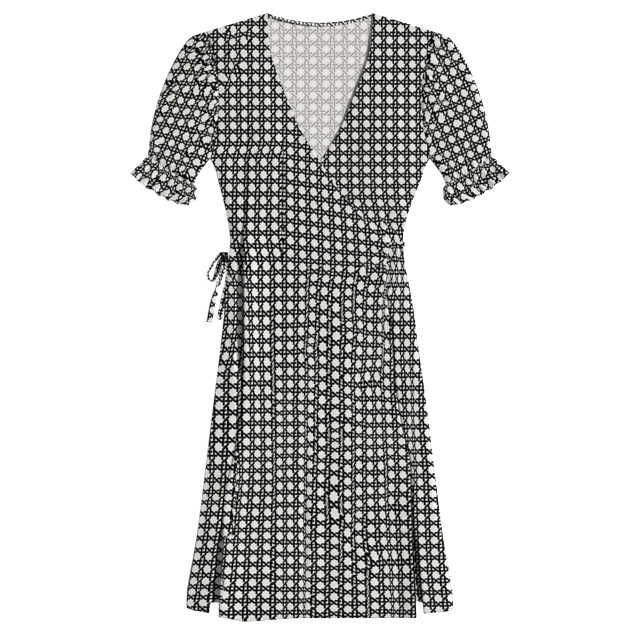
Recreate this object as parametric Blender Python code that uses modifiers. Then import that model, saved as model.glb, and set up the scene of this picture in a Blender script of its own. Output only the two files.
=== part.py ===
"""A short-sleeved wrap dress, laid out flat on its back.

X runs across the dress and +X is the wearer's left, Y runs up to the shoulders, and Z is up from the surface
that it lies on. The origin is on that surface, under the middle of the outline. The tables of the cut are in
millimetres, with `down` measured from the neck points towards the hem.

The panels lie on each other in this order: back, left front, right front, which wraps over. Each panel is a
sheet through lengthwise guide lines, such as a side seam, the lip of a fold and a free edge. A guide line has
a place across the dress, a height over the surface and a hem of its own, and cross sections join them.
"""

import math
from collections import namedtuple

import bmesh
import bpy
from mathutils import Matrix, Vector

MM = 0.001

# The cut.
LENGTH = 1156.0  # neck point to the lowest point of the hem
NECK_HALF = 100.0  # centre line to a neck point
NECK_SCOOP = 19.0  # depth of the back neck
SHOULDER_HALF = 216.0
SHOULDER_DROP = 35.0
UNDERARM = 277.0
BACK_HEM = 1116.0
HEM_STATION = 1150.0
HEM_REACH = 150.0  # a hem that isn't straight bends the cross sections this far up

# The cloth and what it lies on.
CLOTH = 1.2
GAP = 0.3  # between pieces at a seam, or lying on each other
LAYER = CLOTH + GAP
TIE_WIDTH = 8.0
KNOT_SIZE = (13.0, 13.0, 6.5)
KNOT_ROUND = 2.4

# The tie runs behind the waist, and each cross section near it runs along it.
TIE_STATION = 450.5
TIE_SLOPE = 0.07
TIE_REACH = 110.0
TIE_FLAT = 6.5
TIE_RAMP = 9.5
TIE_CLEAR = 0.5
TURN_CLEAR = 0.9
TURN_STEPS = 8
KNOT_CLEAR = 0.9
KNOT_LOW = -1.5

# Down the length: the cross sections of the body.
STATIONS = (
    *(0, 22, 47, 75, 105, 135, 165, 195, 222, 249, UNDERARM),
    *(300, 325, 350, 375, 400, 418),
    *(TIE_STATION + side * reach for side, reach in ((-1, 16), (-1, 6.5), (1, 6.5), (1, 16))),
    *(490, 520, 560, 610, 670, 740, 810, 880, 950, 1010, 1060, 1105, HEM_STATION),
)

Edge = namedtuple("Edge", "down half lean")
ARMHOLE = (
    Edge(35, 216, 0),
    Edge(60, 207, 0),
    Edge(100, 197, 0),
    Edge(150, 192.5, 0),
    Edge(200, 194, 0),
    Edge(245, 201, 0),
    Edge(277, 208, 0),
)
SIDE_SEAM = (  # lean is how far the middle of the dress lies to the wearer's right
    Edge(277, 208, 0),
    Edge(298, 198.5, 0),
    Edge(317, 193, 1),
    Edge(355, 180.5, 3.5),
    Edge(393, 170, 5.5),
    Edge(431, 164.5, 6.5),
    Edge(469, 167, 6),
    Edge(526, 175.5, 4),
    Edge(583, 182.3, 1.2),
    Edge(640, 189.0, 0.8),
    Edge(754, 204, 0),
    Edge(925, 225, 0),
    Edge(1040, 240, 0),
    Edge(1131, 253.5, 0),
)

Free = namedtuple("Free", "down across")
NECKLINE = (
    Free(0, 100),
    Free(47, 98),
    Free(78, 93),
    Free(104, 85),
    Free(161, 63),
    Free(222, 37),
    Free(249, 21),
    Free(283, 0),
)
WRAP_EDGE = (  # the right front below the V: over to the wearer's left waist, then down to the hem
    Free(283, 0),
    Free(325, 29),
    Free(367, 61),
    Free(407, 99),
    Free(437, 131),
    Free(561, 132),
    Free(697, 141),
    Free(792, 156),
    Free(861, 172),
    Free(925, 178),
    Free(1039, 181.5),
    Free(1150, 183.5),
)
UNDER_EDGE = (  # the left front below the V, under the right front
    Free(283, 0),
    Free(325, -29),
    Free(367, -61),
    Free(407, -99),
    Free(437, -124),
    Free(697, -118),
    Free(1150, -110),
)

# The fold beside the wearer's right side seam: a floor between two walls, from the waist to the hem.
Fold = namedtuple("Fold", "down middle floor wall")
SIDE_FOLD = (
    Fold(0, -142, 3, 7),
    Fold(350, -146, 3, 8),
    Fold(431, -150, 3, 7),
    Fold(526, -150, 4, 6),
    Fold(697, -153, 4, 6),
    Fold(830, -165, 4, 5),
    Fold(950, -180, 6, 4),
    Fold(1120, -198.5, 9, 3),
)
# The fold beside the wrap edge: how far its lip stands from that edge.
Lip = namedtuple("Lip", "down clear")
WRAP_FOLD = (Lip(470, 5), Lip(870, 5), Lip(960, 8), Lip(1150, 14.5))
LIP_WALL = 2.5
TUCKED_IN = 12.0  # the left front lies flat from this far under the wrap edge
BODICE_SHARES = {"inner": 0.0, "floor": 0.2, "lip": 0.45, "crest": 0.75}  # between the wrap and the side
FOLD_FROM = 466.0  # its guide lines go from the bodice's places to the fold's, down from here
FOLD_FORMS = 60.0
ROLL = 45.0  # the cloth comes down this far from a lip
ROLL_SHARE = 0.35  # and no further than this share of the panel
EDGE_ROLL = 40.0

# A guide line's height over the surface, down the dress. Two layers lie at LAYER and 2 * LAYER.
Rise = namedtuple("Rise", "down height")
RIGHT_FRONT_RISES = {
    "side": (
        Rise(0, LAYER),
        Rise(30, 2.7),
        Rise(260, 2.7),
        Rise(300, LAYER),
        Rise(430, LAYER),
        Rise(443, 2 * LAYER),
        Rise(458, 2 * LAYER),
        Rise(480, LAYER),
        Rise(1150, LAYER),
    ),
    "crest": (Rise(0, LAYER), Rise(60, 3.4), Rise(300, 3.6), Rise(460, 3.6), Rise(560, 5.5), Rise(1150, 5.5)),
    "outer lip": (
        Rise(0, LAYER),
        Rise(60, 3.6),
        Rise(400, 3.8),
        Rise(460, 4.0),
        Rise(560, 5.5),
        Rise(1150, 6.0),
    ),
    "outer floor": (
        Rise(0, LAYER),
        Rise(60, 3.6),
        Rise(340, 3.9),
        Rise(410, 3.2),
        Rise(462, 2 * LAYER),
        Rise(490, LAYER),
        Rise(1150, LAYER),
    ),
    "inner lip": (
        Rise(0, LAYER),
        Rise(60, 3.7),
        Rise(350, 4.0),
        Rise(460, 4.9),
        Rise(560, 7.0),
        Rise(1150, 6.8),
    ),
    "roll": (
        Rise(0, LAYER),
        Rise(60, 3.8),
        Rise(200, 5.0),
        Rise(350, 4.0),
        Rise(450, 3.2),
        Rise(1105, 3.2),
        Rise(1150, 0.6),
    ),
    "first crease": (
        Rise(0, LAYER),
        Rise(60, 3.6),
        Rise(200, 4.8),
        Rise(350, 3.6),
        Rise(450, 3.1),
        Rise(620, 3.2),
        Rise(800, 4.8),
        Rise(1105, 4.8),
        Rise(1150, 2.2),
    ),
    "second crease": (
        Rise(0, LAYER),
        Rise(60, 3.3),
        Rise(300, 3.3),
        Rise(450, 3.1),
        Rise(520, 3.3),
        Rise(640, 4.6),
        Rise(1105, 4.4),
        Rise(1150, 2.0),
    ),
    "edge roll": (Rise(0, LAYER), Rise(60, 3.1), Rise(450, 3.1), Rise(1105, 3.4), Rise(1150, 0.9)),
    "edge": (Rise(0, LAYER), Rise(60, 3.0), Rise(470, 3.0), Rise(540, 5.0), Rise(1150, 5.2)),
}
LEFT_FRONT_RISES = {
    "edge": (Rise(0, LAYER), Rise(60, 4.6), Rise(160, 4.4), Rise(270, LAYER), Rise(1150, LAYER)),
    "inner": (Rise(0, LAYER), Rise(60, 4.4), Rise(200, 4.6), Rise(270, LAYER), Rise(1150, LAYER)),
    "floor": (
        Rise(0, LAYER),
        Rise(60, 3.8),
        Rise(200, 4.8),
        Rise(330, 3.0),
        Rise(400, LAYER),
        Rise(1150, LAYER),
    ),
    "lip": (
        Rise(0, LAYER),
        Rise(60, 3.6),
        Rise(220, 4.8),
        Rise(360, 3.4),
        Rise(425, LAYER),
        Rise(470, LAYER),
        Rise(560, 5.6),
        Rise(1150, 6.4),
    ),
    "crest": (
        Rise(0, LAYER),
        Rise(60, 3.4),
        Rise(260, 3.6),
        Rise(380, 2.8),
        Rise(425, LAYER),
        Rise(470, LAYER),
        Rise(560, 5.2),
        Rise(1150, 5.6),
    ),
    "side": (Rise(0, LAYER), Rise(30, 2.7), Rise(260, 2.7), Rise(300, LAYER), Rise(1150, LAYER)),
}
# A panel's guide lines from the wearer's right: each with its hem and the columns of faces up to the next.
Guide = namedtuple("Guide", "name hem columns")
RIGHT_FRONT_GUIDES = (
    Guide("side", 1131, 2),
    Guide("crest", 1136, 2),
    Guide("outer lip", 1140, 1),
    Guide("outer floor", 1120, 1),
    Guide("inner floor", 1120, 1),
    Guide("inner lip", 1147, 3),
    Guide("roll", 1156, 3),
    Guide("first crease", 1150, 4),
    Guide("second crease", 1150, 3),
    Guide("edge roll", 1149.5, 3),
    Guide("edge", 1149, 0),
)
LEFT_FRONT_GUIDES = (
    Guide("edge", 1105, 5),
    Guide("inner", 1112, 2),
    Guide("floor", 1120, 1),
    Guide("lip", 1140, 3),
    Guide("crest", 1137, 3),
    Guide("side", 1132, 0),
)
BACK_MIDDLE = 4  # columns of faces in each half of the back, as far out as the neck points
BACK_HEM_FROM = 950.0

# A sleeve lies flat too: its outline in plan, for the wearer's left side.
Plan = namedtuple("Plan", "across down")
SLEEVE_OUTER = (
    Plan(216, 35),
    Plan(241, 43),
    Plan(257, 59),
    Plan(285, 108),
    Plan(301, 146),
    Plan(313, 184),
    Plan(321, 222),
    Plan(327, 270),
)
SLEEVE_INNER = (Plan(208, 277), Plan(220, 292), Plan(232, 309), Plan(239, 325))
CUFF_LINE = (Plan(327, 270), Plan(285, 300), Plan(239, 325))
RUFFLE_OUTER = (Plan(327, 270), Plan(340, 284), Plan(361, 304))
RUFFLE_INNER = (Plan(239, 325), Plan(233.5, 334), Plan(234, 350), Plan(246, 366))
RUFFLE_HEM = (Plan(361, 304), Plan(338, 325), Plan(313, 341), Plan(290, 354), Plan(270, 362), Plan(246, 366))
GATHERS = 12  # crests across the upper layer, at the sleeve head and along the cuff
SLEEVE_ROWS = 12
RUFFLE_ROWS = 3
ARMHOLE_SEAM = 0.8
TUBE_EDGE = 1.8  # the two layers of a sleeve turn into each other over this width
TUBE_TROUGH = 3.9
TUBE_SHOULDER = 3.5
PUFF = 1.0
HEAD_GATHER = 2.2
HEAD_GATHER_ROWS = 0.42  # share of the sleeve's length that the gathers of the head run down
HEAD_FADE_FROM = 0.42  # share of the armhole, from the shoulder, that is fully gathered
HEAD_FADE = 0.4
CUFF_GATHER = 1.4
CUFF_GATHER_ROWS = 0.3
RUFFLE_WAVE = 2.4
RUFFLE_SINKS = 0.5
RUFFLE_SCALLOP = 2.2
OUT_ACROSS, OUT_DOWN = 0.53, 0.85  # the direction out of the sleeve at its cuff
UNDER_COLUMNS = (0.75, 0.5, 0.25)

BINDING_WIDTH = 6.5
BINDING_SHORT = 3.0
BINDING_COLUMNS = 12

# The bow at the wearer's right waist, in plan from the knot's middle, for ties that lie flat.
Route = namedtuple("Route", "across down")
LONG_LOOP = (
    Route(-8.4, -4.2),
    Route(-13, -2.5),
    Route(-21, 5),
    Route(-27.5, 15),
    Route(-31, 27),
    Route(-29.5, 37),
    Route(-23.5, 40),
    Route(-18.5, 33),
    Route(-16.5, 20),
    Route(-13, 6.5),
    Route(-8.6, 2.0),
)
LONG_END = (
    Route(-1.4, 7.7),
    Route(-3.6, 17),
    Route(-8, 34),
    Route(-13, 51),
    Route(-20, 72),
    Route(-26, 96),
    Route(-31, 121),
)
SHORT_END = (
    Route(7.4, 7.7),
    Route(8, 19),
    Route(7, 39),
    Route(4.4, 56),
    Route(1, 70),
    Route(-3.4, 92),
    Route(-7, 122),
)
# The short end lies behind the right front's side, and the back's seam is set in there to make room for it.
Tuck = namedtuple("Tuck", "down inset")
BACK_TUCK = (
    Tuck(440, 0),
    Tuck(462, 9),
    Tuck(490, 10.5),
    Tuck(520, 10.5),
    Tuck(560, 5),
    Tuck(583, 2.5),
    Tuck(610, 0),
)
SHORT_LOOP_SHARE = 0.36  # the second loop is folded flat on the long end, over this share of it
PATH_STEP = 3.0

SIDE_RIGHT, SIDE_LEFT = -1, 1
EDGE_STEPS = 12


def between(table, column, at):
    """The column's value at a place in the table's first column, on a curve that never overshoots a row."""
    places = [row[0] for row in table]
    values = [getattr(row, column) for row in table]
    if at <= places[0]:
        return values[0]
    if at >= places[-1]:
        return values[-1]
    steps = [b - a for a, b in zip(places, places[1:])]
    slopes = [(b - a) / step for a, b, step in zip(values, values[1:], steps)]
    leans = [slopes[0]]
    for before, after in zip(slopes, slopes[1:]):
        leans.append(2 * before * after / (before + after) if before * after > 0 else 0.0)
    leans.append(slopes[-1])
    i = max(k for k, place in enumerate(places[:-1]) if place <= at)
    t = (at - places[i]) / steps[i]
    return (
        values[i] * (1 + 2 * t) * (1 - t) ** 2
        + values[i + 1] * t * t * (3 - 2 * t)
        + steps[i] * (leans[i] * t * (1 - t) ** 2 - leans[i + 1] * t * t * (1 - t))
    )


def ease(t):
    t = min(max(t, 0.0), 1.0)
    return t * t * (3 - 2 * t)


def mix(a, b, share):
    return a + (b - a) * share


def place(across, down, height):
    """A point of the dress in metres."""
    return Vector((across * MM, (LENGTH / 2 - down) * MM, height * MM))


Mark = namedtuple("Mark", "at across down")


def along(points, share):
    """A point of the plan at a share of the way along a smooth curve through the given ones."""
    marks = [0.0]
    for a, b in zip(points, points[1:]):
        marks.append(marks[-1] + math.dist(a, b))
    rows = [Mark(mark, *point) for mark, point in zip(marks, points)]
    return between(rows, "across", share * marks[-1]), between(rows, "down", share * marks[-1])


def side_edge(down, side):
    """The armhole and below it the side seam."""
    table = ARMHOLE if down < UNDERARM else SIDE_SEAM
    return side * between(table, "half", down) - between(table, "lean", down)


def wrap_edge(down):
    """The right front's free edge: the neckline, then the wrap."""
    if down < NECKLINE[-1].down:
        return -between(NECKLINE, "across", down)
    return between(WRAP_EDGE, "across", down)


def under_edge(down):
    """The left front's free edge."""
    if down < NECKLINE[-1].down:
        return between(NECKLINE, "across", down)
    return between(UNDER_EDGE, "across", down)


def over_tie(station):
    """How far the layers are lifted by the tie that runs under them."""
    return LAYER * (1 - min(max((abs(station - TIE_STATION) - TIE_FLAT) / TIE_RAMP, 0.0), 1.0))


def section_down(station, across, neck_scoop=0.0):
    """Where the cross section of a station lies, at a place across the dress, before its hem is shaped."""
    share = min(max((abs(across) - NECK_HALF) / (SHOULDER_HALF - NECK_HALF), 0.0), 1.0)
    scoop = neck_scoop * max(1 - (across / NECK_HALF) ** 2, 0.0)
    top = (SHOULDER_DROP * share + scoop) * (1 - ease(station / 240))
    tilt = TIE_SLOPE * (1 - ease(abs(station - TIE_STATION) / TIE_REACH))
    return station + top - tilt * across


def edge_at(station, edge):
    """The place across where a station's cross section meets an edge, which is a function of down."""
    down = station
    for _ in range(EDGE_STEPS):
        down = mix(down, section_down(station, edge(down)), 0.7)
    return edge(down)


def side_at(station, side):
    return edge_at(station, lambda down: side_edge(down, side))


def right_front_lines(station):
    """The right front's guide lines at one station, across the dress."""
    side = side_at(station, SIDE_RIGHT)
    edge = edge_at(station, wrap_edge)
    fold = {column: between(SIDE_FOLD, column, station) for column in ("middle", "floor", "wall")}
    inner_lip = fold["middle"] + fold["floor"] + fold["wall"]
    outer_lip = fold["middle"] - fold["floor"] - fold["wall"]
    roll = inner_lip + min(ROLL, ROLL_SHARE * (edge - inner_lip))
    edge_roll = edge - min(EDGE_ROLL, ROLL_SHARE * (edge - inner_lip))
    return {
        "side": side,
        "crest": mix(side, outer_lip, 0.45),
        "outer lip": outer_lip,
        "outer floor": fold["middle"] - fold["floor"],
        "inner floor": fold["middle"] + fold["floor"],
        "inner lip": inner_lip,
        "roll": roll,
        "first crease": mix(roll, edge_roll, 0.37),
        "second crease": mix(roll, edge_roll, 0.75),
        "edge roll": edge_roll,
        "edge": edge,
    }


def left_front_lines(station):
    """The left front's guide lines at one station, across the dress."""
    side = side_at(station, SIDE_LEFT)
    edge = edge_at(station, under_edge)
    wrap = edge_at(station, wrap_edge)
    inner = max(wrap + 2, mix(edge, side, 0.25))
    bodice = {name: mix(inner, side, share) for name, share in BODICE_SHARES.items()}
    lip = wrap + between(WRAP_FOLD, "clear", station)
    skirt = {
        "inner": wrap - TUCKED_IN,
        "floor": lip - LIP_WALL,
        "lip": lip,
        "crest": mix(lip, side, 0.5),
    }
    share = ease((station - FOLD_FROM) / FOLD_FORMS)
    return {"edge": edge, "side": side, **{name: mix(bodice[name], skirt[name], share) for name in skirt}}


def section(station, lines, guides, rises):
    """The points of one cross section of a front."""
    hem_share = min(max((station - HEM_STATION) / HEM_REACH + 1, 0.0), 1.0)
    points = []
    for guide, following in zip(guides, (*guides[1:], guides[-1])):
        here, there = (rise_of(rises, g.name, station) for g in (guide, following))
        for column in range(max(guide.columns, 1)):
            share = column / max(guide.columns, 1)
            across = mix(lines[guide.name], lines[following.name], share)
            hem = mix(guide.hem, following.hem, ease(share)) - HEM_STATION
            down = section_down(station, across) + hem * hem_share
            points.append(place(across, down, mix(here, there, ease(share)) + over_tie(station)))
    return points


def rise_of(rises, name, station):
    return between(rises["outer floor" if name == "inner floor" else name], "height", station)


def back_section(station):
    """The points of one cross section of the back, which lies flat."""
    left, right = (side_at(station, side) for side in (SIDE_LEFT, SIDE_RIGHT))
    right += between(BACK_TUCK, "inset", station)
    middle = [NECK_HALF * step / BACK_MIDDLE for step in range(-BACK_MIDDLE, BACK_MIDDLE + 1)]
    points = []
    for across in (right, mix(right, -NECK_HALF, 0.5), *middle, mix(left, NECK_HALF, 0.5), left):
        down = section_down(station, across, NECK_SCOOP)
        down -= (HEM_STATION - BACK_HEM) * ease((station - BACK_HEM_FROM) / (HEM_STATION - BACK_HEM_FROM))
        points.append(place(across, down, over_tie(station)))
    return points


def make_material(name, colour, roughness):
    material = bpy.data.materials.new(name)
    material.use_nodes = True
    shader = material.node_tree.nodes["Principled BSDF"]
    shader.inputs["Base Color"].default_value = (*colour, 1)
    shader.inputs["Roughness"].default_value = roughness
    shader.inputs["Metallic"].default_value = 0.0
    return material


def new_object(name, bm, material):
    mesh = bpy.data.meshes.new(name)
    bm.to_mesh(mesh)
    bm.free()
    mesh.shade_smooth()
    mesh.materials.append(material)
    obj = bpy.data.objects.new(name, mesh)
    collection.objects.link(obj)
    return obj


def grid_through(sections):
    """A grid with a row of vertices through the points of each section."""
    columns, rows = len(sections[0]) - 1, len(sections) - 1
    bm = bmesh.new()
    bmesh.ops.create_grid(bm, x_segments=columns, y_segments=rows, size=0.5)
    for vert in bm.verts:
        column, row = round((vert.co.x + 0.5) * columns), round((vert.co.y + 0.5) * rows)
        vert.co = sections[row][column]
    return bm


def thicken(obj, thickness, offset):
    """Gives a surface the cloth's thickness: offset 1 builds it outwards, -1 inwards."""
    wall = obj.modifiers.new("Cloth", "SOLIDIFY")
    wall.thickness = thickness * MM
    wall.offset = offset
    wall.use_even_offset = True
    wall.use_quality_normals = True
    return obj


def sheet(name, sections, material, thickness=CLOTH):
    """A sheet of cloth whose under side runs through the sections, which go from the hem up."""
    return thicken(new_object(name, grid_through(sections), material), thickness, 1)


def tube(name, sections, material, thickness=CLOTH):
    """A tube of cloth, open at both ends, whose outside runs through closed sections."""
    bm = grid_through([[*points, points[0]] for points in sections])
    bmesh.ops.remove_doubles(bm, verts=bm.verts, dist=1e-6)
    bmesh.ops.recalc_face_normals(bm, faces=bm.faces)
    return thicken(new_object(name, bm, material), thickness, -1)


def patch_point(start, end, outer, inner, s, v):
    """A point of the plan patch between four curves: s runs from outer to inner, v from start to end."""
    a, b, c, d = along(start, s), along(end, s), along(outer, v), along(inner, v)
    corner = [along(start, 0), along(start, 1), along(end, 0), along(end, 1)]
    return tuple(
        mix(a[k], b[k], v)
        + mix(c[k], d[k], s)
        - mix(mix(corner[0][k], corner[1][k], s), mix(corner[2][k], corner[3][k], s), v)
        for k in range(2)
    )


def flat_ring(at, width, top_height, side):
    """A closed section of a sleeve that lies flat: its upper layer with the gathers, then its under layer."""
    edge = TUBE_EDGE / width
    upper = [(step / (2 * GATHERS), top_height(step)) for step in range(1, 2 * GATHERS)]
    ring = [(0.0, TUBE_TROUGH / 2), (edge, TUBE_SHOULDER), *upper, (1 - edge, TUBE_SHOULDER)]
    ring += [(1.0, TUBE_TROUGH / 2), (1 - edge, 0.0), *((s, 0.0) for s in UNDER_COLUMNS), (edge, 0.0)]
    points = []
    for s, height in ring:
        across, down = at(s)
        points.append(place(side * across, down, height))
    return points


def build_sleeve(name, side, material):
    """A puffed sleeve, gathered into the armhole and at the cuff."""
    armhole = [Plan(edge.half + ARMHOLE_SEAM, edge.down) for edge in ARMHOLE]
    outer = (armhole[0], *SLEEVE_OUTER[1:])
    inner = (armhole[-1], *SLEEVE_INNER[1:])
    sections = []
    for row in range(SLEEVE_ROWS + 1):
        v = row / SLEEVE_ROWS

        def at(s, v=v):
            return patch_point(armhole, CUFF_LINE, outer, inner, s, v)

        def top_height(step, v=v):
            s = step / (2 * GATHERS)
            fade = 1 - ease((s - HEAD_FADE_FROM) / HEAD_FADE)
            head = HEAD_GATHER * (1 - ease(v / HEAD_GATHER_ROWS)) * fade
            cuff = CUFF_GATHER * ease((v - 1 + CUFF_GATHER_ROWS) / CUFF_GATHER_ROWS)
            body = PUFF * math.sin(math.pi * v) * math.sin(math.pi * s)
            return TUBE_TROUGH + body + (head + cuff) * (step % 2)

        sections.append(flat_ring(at, math.dist(at(0), at(1)), top_height, side))
    return tube(name, sections, material)


def build_ruffle(name, side, material):
    """The ruffle below the cuff's gathers, waved along its hem."""
    start = [Plan(point.across + OUT_ACROSS * GAP, point.down + OUT_DOWN * GAP) for point in CUFF_LINE]
    outer = (start[0], *RUFFLE_OUTER[1:])
    inner = (start[-1], *RUFFLE_INNER[1:])
    sections = []
    for row in range(RUFFLE_ROWS + 1):
        v = row / RUFFLE_ROWS

        def at(s, v=v):
            across, down = patch_point(start, RUFFLE_HEM, outer, inner, s, v)
            wave = RUFFLE_SCALLOP * v * math.cos(math.pi * GATHERS * s) * math.sin(math.pi * s)
            return across + OUT_ACROSS * wave, down + OUT_DOWN * wave

        def top_height(step, v=v):
            return TUBE_TROUGH - RUFFLE_SINKS * v + mix(CUFF_GATHER, RUFFLE_WAVE, ease(v)) * (step % 2)

        sections.append(flat_ring(at, math.dist(at(0), at(1)), top_height, side))
    return tube(name, sections, material)


def build_binding(material):
    """The binding inside the back neck: a strip that lies along the neckline."""
    reach = NECK_HALF - BINDING_SHORT
    sections = []
    for inset in (BINDING_WIDTH, 0.0):
        points = []
        for column in range(BINDING_COLUMNS + 1):
            across = mix(-reach, reach, column / BINDING_COLUMNS)
            down = section_down(0, across, NECK_SCOOP) + inset
            points.append(place(across, down, LAYER))
        sections.append(points)
    return sheet("neck_binding", sections, material)


def strap(name, path, across_of, material):
    """A flat tie along a path: across_of gives its width's direction from the path's direction."""
    sections = []
    for i, point in enumerate(path):
        direction = (path[min(i + 1, len(path) - 1)] - path[max(i - 1, 0)]).normalized()
        across = across_of(direction)
        up = across.cross(direction).normalized() * (CLOTH / 2 * MM)
        half = across.normalized() * (TIE_WIDTH / 2 * MM)
        bevel = half * 0.86
        ring = (-half, up - bevel, up + bevel, half, bevel - up, -bevel - up)
        sections.append([point + corner for corner in ring])
    bm = grid_through([[*points, points[0]] for points in sections])
    bmesh.ops.remove_doubles(bm, verts=bm.verts, dist=1e-6)
    bmesh.ops.holes_fill(bm, edges=[edge for edge in bm.edges if edge.is_boundary])
    bmesh.ops.recalc_face_normals(bm, faces=bm.faces)
    return new_object(name, bm, material)


def in_plan(direction):
    """The width's direction of a tie that lies flat."""
    return Vector((0, 0, 1)).cross(direction)


def along_waist(direction):
    """The width's direction of the tie at the waist: square to its line, also where the tie turns over."""
    return in_plan(tie_line(1, 0) - tie_line(0, 0))


def smooth_path(points):
    """A tie's path through places in plan, with a point every few millimetres."""
    length = sum(math.dist(a, b) for a, b in zip(points, points[1:]))
    count = round(length / PATH_STEP)
    return [place(*along(points, i / count), CLOTH / 2) for i in range(count + 1)]


def tie_line(across, height):
    """A point of the line that the tie runs along at the waist."""
    return place(across, section_down(TIE_STATION, across), height)


def build_ties(material):
    """The right front's tie runs round the wearer's left side and behind the waist. The left front's comes
    out at the right side seam. They are tied there in a bow."""
    right, left = side_at(TIE_STATION, SIDE_RIGHT), side_at(TIE_STATION, SIDE_LEFT)
    build_waist_tie(left, right, material)
    start, inside = edge_at(TIE_STATION, under_edge) - TIE_CLEAR, 2 * LAYER + CLOTH / 2
    path = [tie_line(mix(start, right, share), inside) for share in (0, 0.5, 1)]
    strap("tie_under", path, along_waist, material)

    knot = Plan(right - KNOT_CLEAR - KNOT_SIZE[0] / 2, section_down(TIE_STATION, right) + KNOT_LOW)
    build_knot(knot, material)

    def from_knot(route):
        return smooth_path([Plan(knot.across + point.across, knot.down + point.down) for point in route])

    strap("bow_loop_long", from_knot(LONG_LOOP), in_plan, material)
    strap("tie_end_long", from_knot(LONG_END), in_plan, material)
    strap("tie_end_short", from_knot(SHORT_END), in_plan, material)
    build_short_loop(from_knot(LONG_END), material)


def build_waist_tie(left, right, material):
    """From the wrap point, over the left front, down round the side seam, and under the back to the bow."""
    low, high = CLOTH / 2, 3 * LAYER + CLOTH / 2
    turn = (high - low) / 2
    wrap = edge_at(TIE_STATION, wrap_edge) + TIE_CLEAR
    path = [tie_line(x, high) for x in (wrap, mix(wrap, left, 0.5))]
    for step in range(TURN_STEPS + 1):
        angle = math.pi * (0.5 - step / TURN_STEPS)
        across = left + TURN_CLEAR + TURN_CLEAR * turn * math.cos(angle)
        path.append(tie_line(across, low + turn + turn * math.sin(angle)))
    path += [tie_line(mix(left, right, share), low) for share in (0.1, 0.5, 0.9)]
    path.append(tie_line(right, low))
    strap("tie_over", path, along_waist, material)


def build_knot(at, material):
    width, depth, height = KNOT_SIZE
    bpy.ops.mesh.primitive_cube_add(size=1)
    knot = bpy.context.object
    knot.name = knot.data.name = "bow_knot"
    knot.data.transform(Matrix.Diagonal((width * MM, depth * MM, height * MM, 1)))
    knot.data.transform(Matrix.Translation(place(at.across, at.down, height / 2)))
    knot.data.materials.append(material)
    rounding = knot.modifiers.new("Rounded", "BEVEL")
    rounding.width = KNOT_ROUND * MM
    rounding.segments = 3
    for owner in knot.users_collection:
        owner.objects.unlink(knot)
    collection.objects.link(knot)


def build_short_loop(long_end, material):
    """The second loop of the bow, folded flat: out along the long end and back on top of itself."""
    out = long_end[: round(len(long_end) * SHORT_LOOP_SHARE) + 1]
    lift = LAYER * MM
    tip = (out[-1] - out[-2]).normalized()
    up = Vector((0, 0, 1))
    turn = [
        out[-1] + tip * (lift / 2 * math.sin(a)) + up * (lift + lift / 2 * (1 - math.cos(a)))
        for a in (math.pi * step / 6 for step in range(1, 6))
    ]
    path = [point + up * lift for point in out] + turn + [point + up * 2 * lift for point in reversed(out)]
    flat = [in_plan(b - a).normalized() for a, b in zip(out, out[1:])]
    flat.append(flat[-1])
    widths = iter([*flat, *([flat[-1]] * len(turn)), *reversed(flat)])
    strap("bow_loop_short", path, lambda direction: next(widths), material)


for old in list(bpy.data.objects):
    bpy.data.objects.remove(old)
collection = bpy.data.collections.new("wrap_dress")
bpy.context.scene.collection.children.link(collection)

printed = make_material("printed_cloth", (0.45, 0.44, 0.42), 0.85)
binding_cloth = make_material("binding_cloth", (0.45, 0.44, 0.42), 0.85)
tie_cloth = make_material("tie_cloth", (0.45, 0.44, 0.42), 0.8)

from_hem = STATIONS[::-1]
sheet("back", [back_section(station) for station in from_hem], printed)
sheet(
    "front_left_under",
    [section(s, left_front_lines(s), LEFT_FRONT_GUIDES, LEFT_FRONT_RISES) for s in from_hem],
    printed,
)
sheet(
    "front_right_over",
    [section(s, right_front_lines(s), RIGHT_FRONT_GUIDES, RIGHT_FRONT_RISES) for s in from_hem],
    printed,
)
for side_name, side_sign in (("left", SIDE_LEFT), ("right", SIDE_RIGHT)):
    build_sleeve(f"sleeve_{side_name}", side_sign, printed)
    build_ruffle(f"ruffle_{side_name}", side_sign, printed)
build_binding(binding_cloth)
build_ties(tie_cloth)
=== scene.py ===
"""The looks of a short-sleeved wrap dress that lies flat on its back, printed with a cane-work repeat.

X runs across the dress and +X is the wearer's left, Y runs up to the shoulders, and Z is up from the surface
that it lies on. The tables of the cut are in millimetres, with `down` measured from the neck points.
"""

import math
import random
from collections import namedtuple

import bpy
import numpy as np
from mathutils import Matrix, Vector


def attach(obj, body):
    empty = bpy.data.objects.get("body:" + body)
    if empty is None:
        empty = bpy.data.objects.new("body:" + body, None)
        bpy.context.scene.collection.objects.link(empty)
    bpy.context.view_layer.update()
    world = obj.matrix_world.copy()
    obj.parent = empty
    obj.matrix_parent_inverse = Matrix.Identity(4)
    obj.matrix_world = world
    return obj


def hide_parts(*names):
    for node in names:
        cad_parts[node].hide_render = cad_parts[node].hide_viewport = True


MM = 0.001

# The cut, as in the solids.
LENGTH = 1156.0
NECK_HALF = 100.0
NECK_SCOOP = 18.2
SHOULDER_HALF = 216.0
SHOULDER_DROP = 35.0
SHOULDER_FADES = 240.0  # how far down the sections still follow the shoulders
UNDERARM = 277.0
BACK_HEM = 1116.0
BACK_HEM_FROM = 950.0
HEM_STATION = 1150.0
HEM_REACH = 150.0

CLOTH = 0.6
GAP = 0.3
LAYER = 1.5  # the height of one layer in the solids
ROW_STEP = 4.5

TIE_STATION = 450.5
TIE_SLOPE = 0.07
TIE_REACH = 110.0
TIE_FLAT = 6.5
TIE_RAMP = 9.5
TIE_WIDTH = 9.0
TIE_CLOTH = 0.8

SIDE_RIGHT, SIDE_LEFT = -1, 1
EDGE_STEPS, EDGE_STEP = 12, 0.7  # how an edge is found on a section


def named(kind, *rows):
    return tuple(kind(*row) for row in rows)


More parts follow.
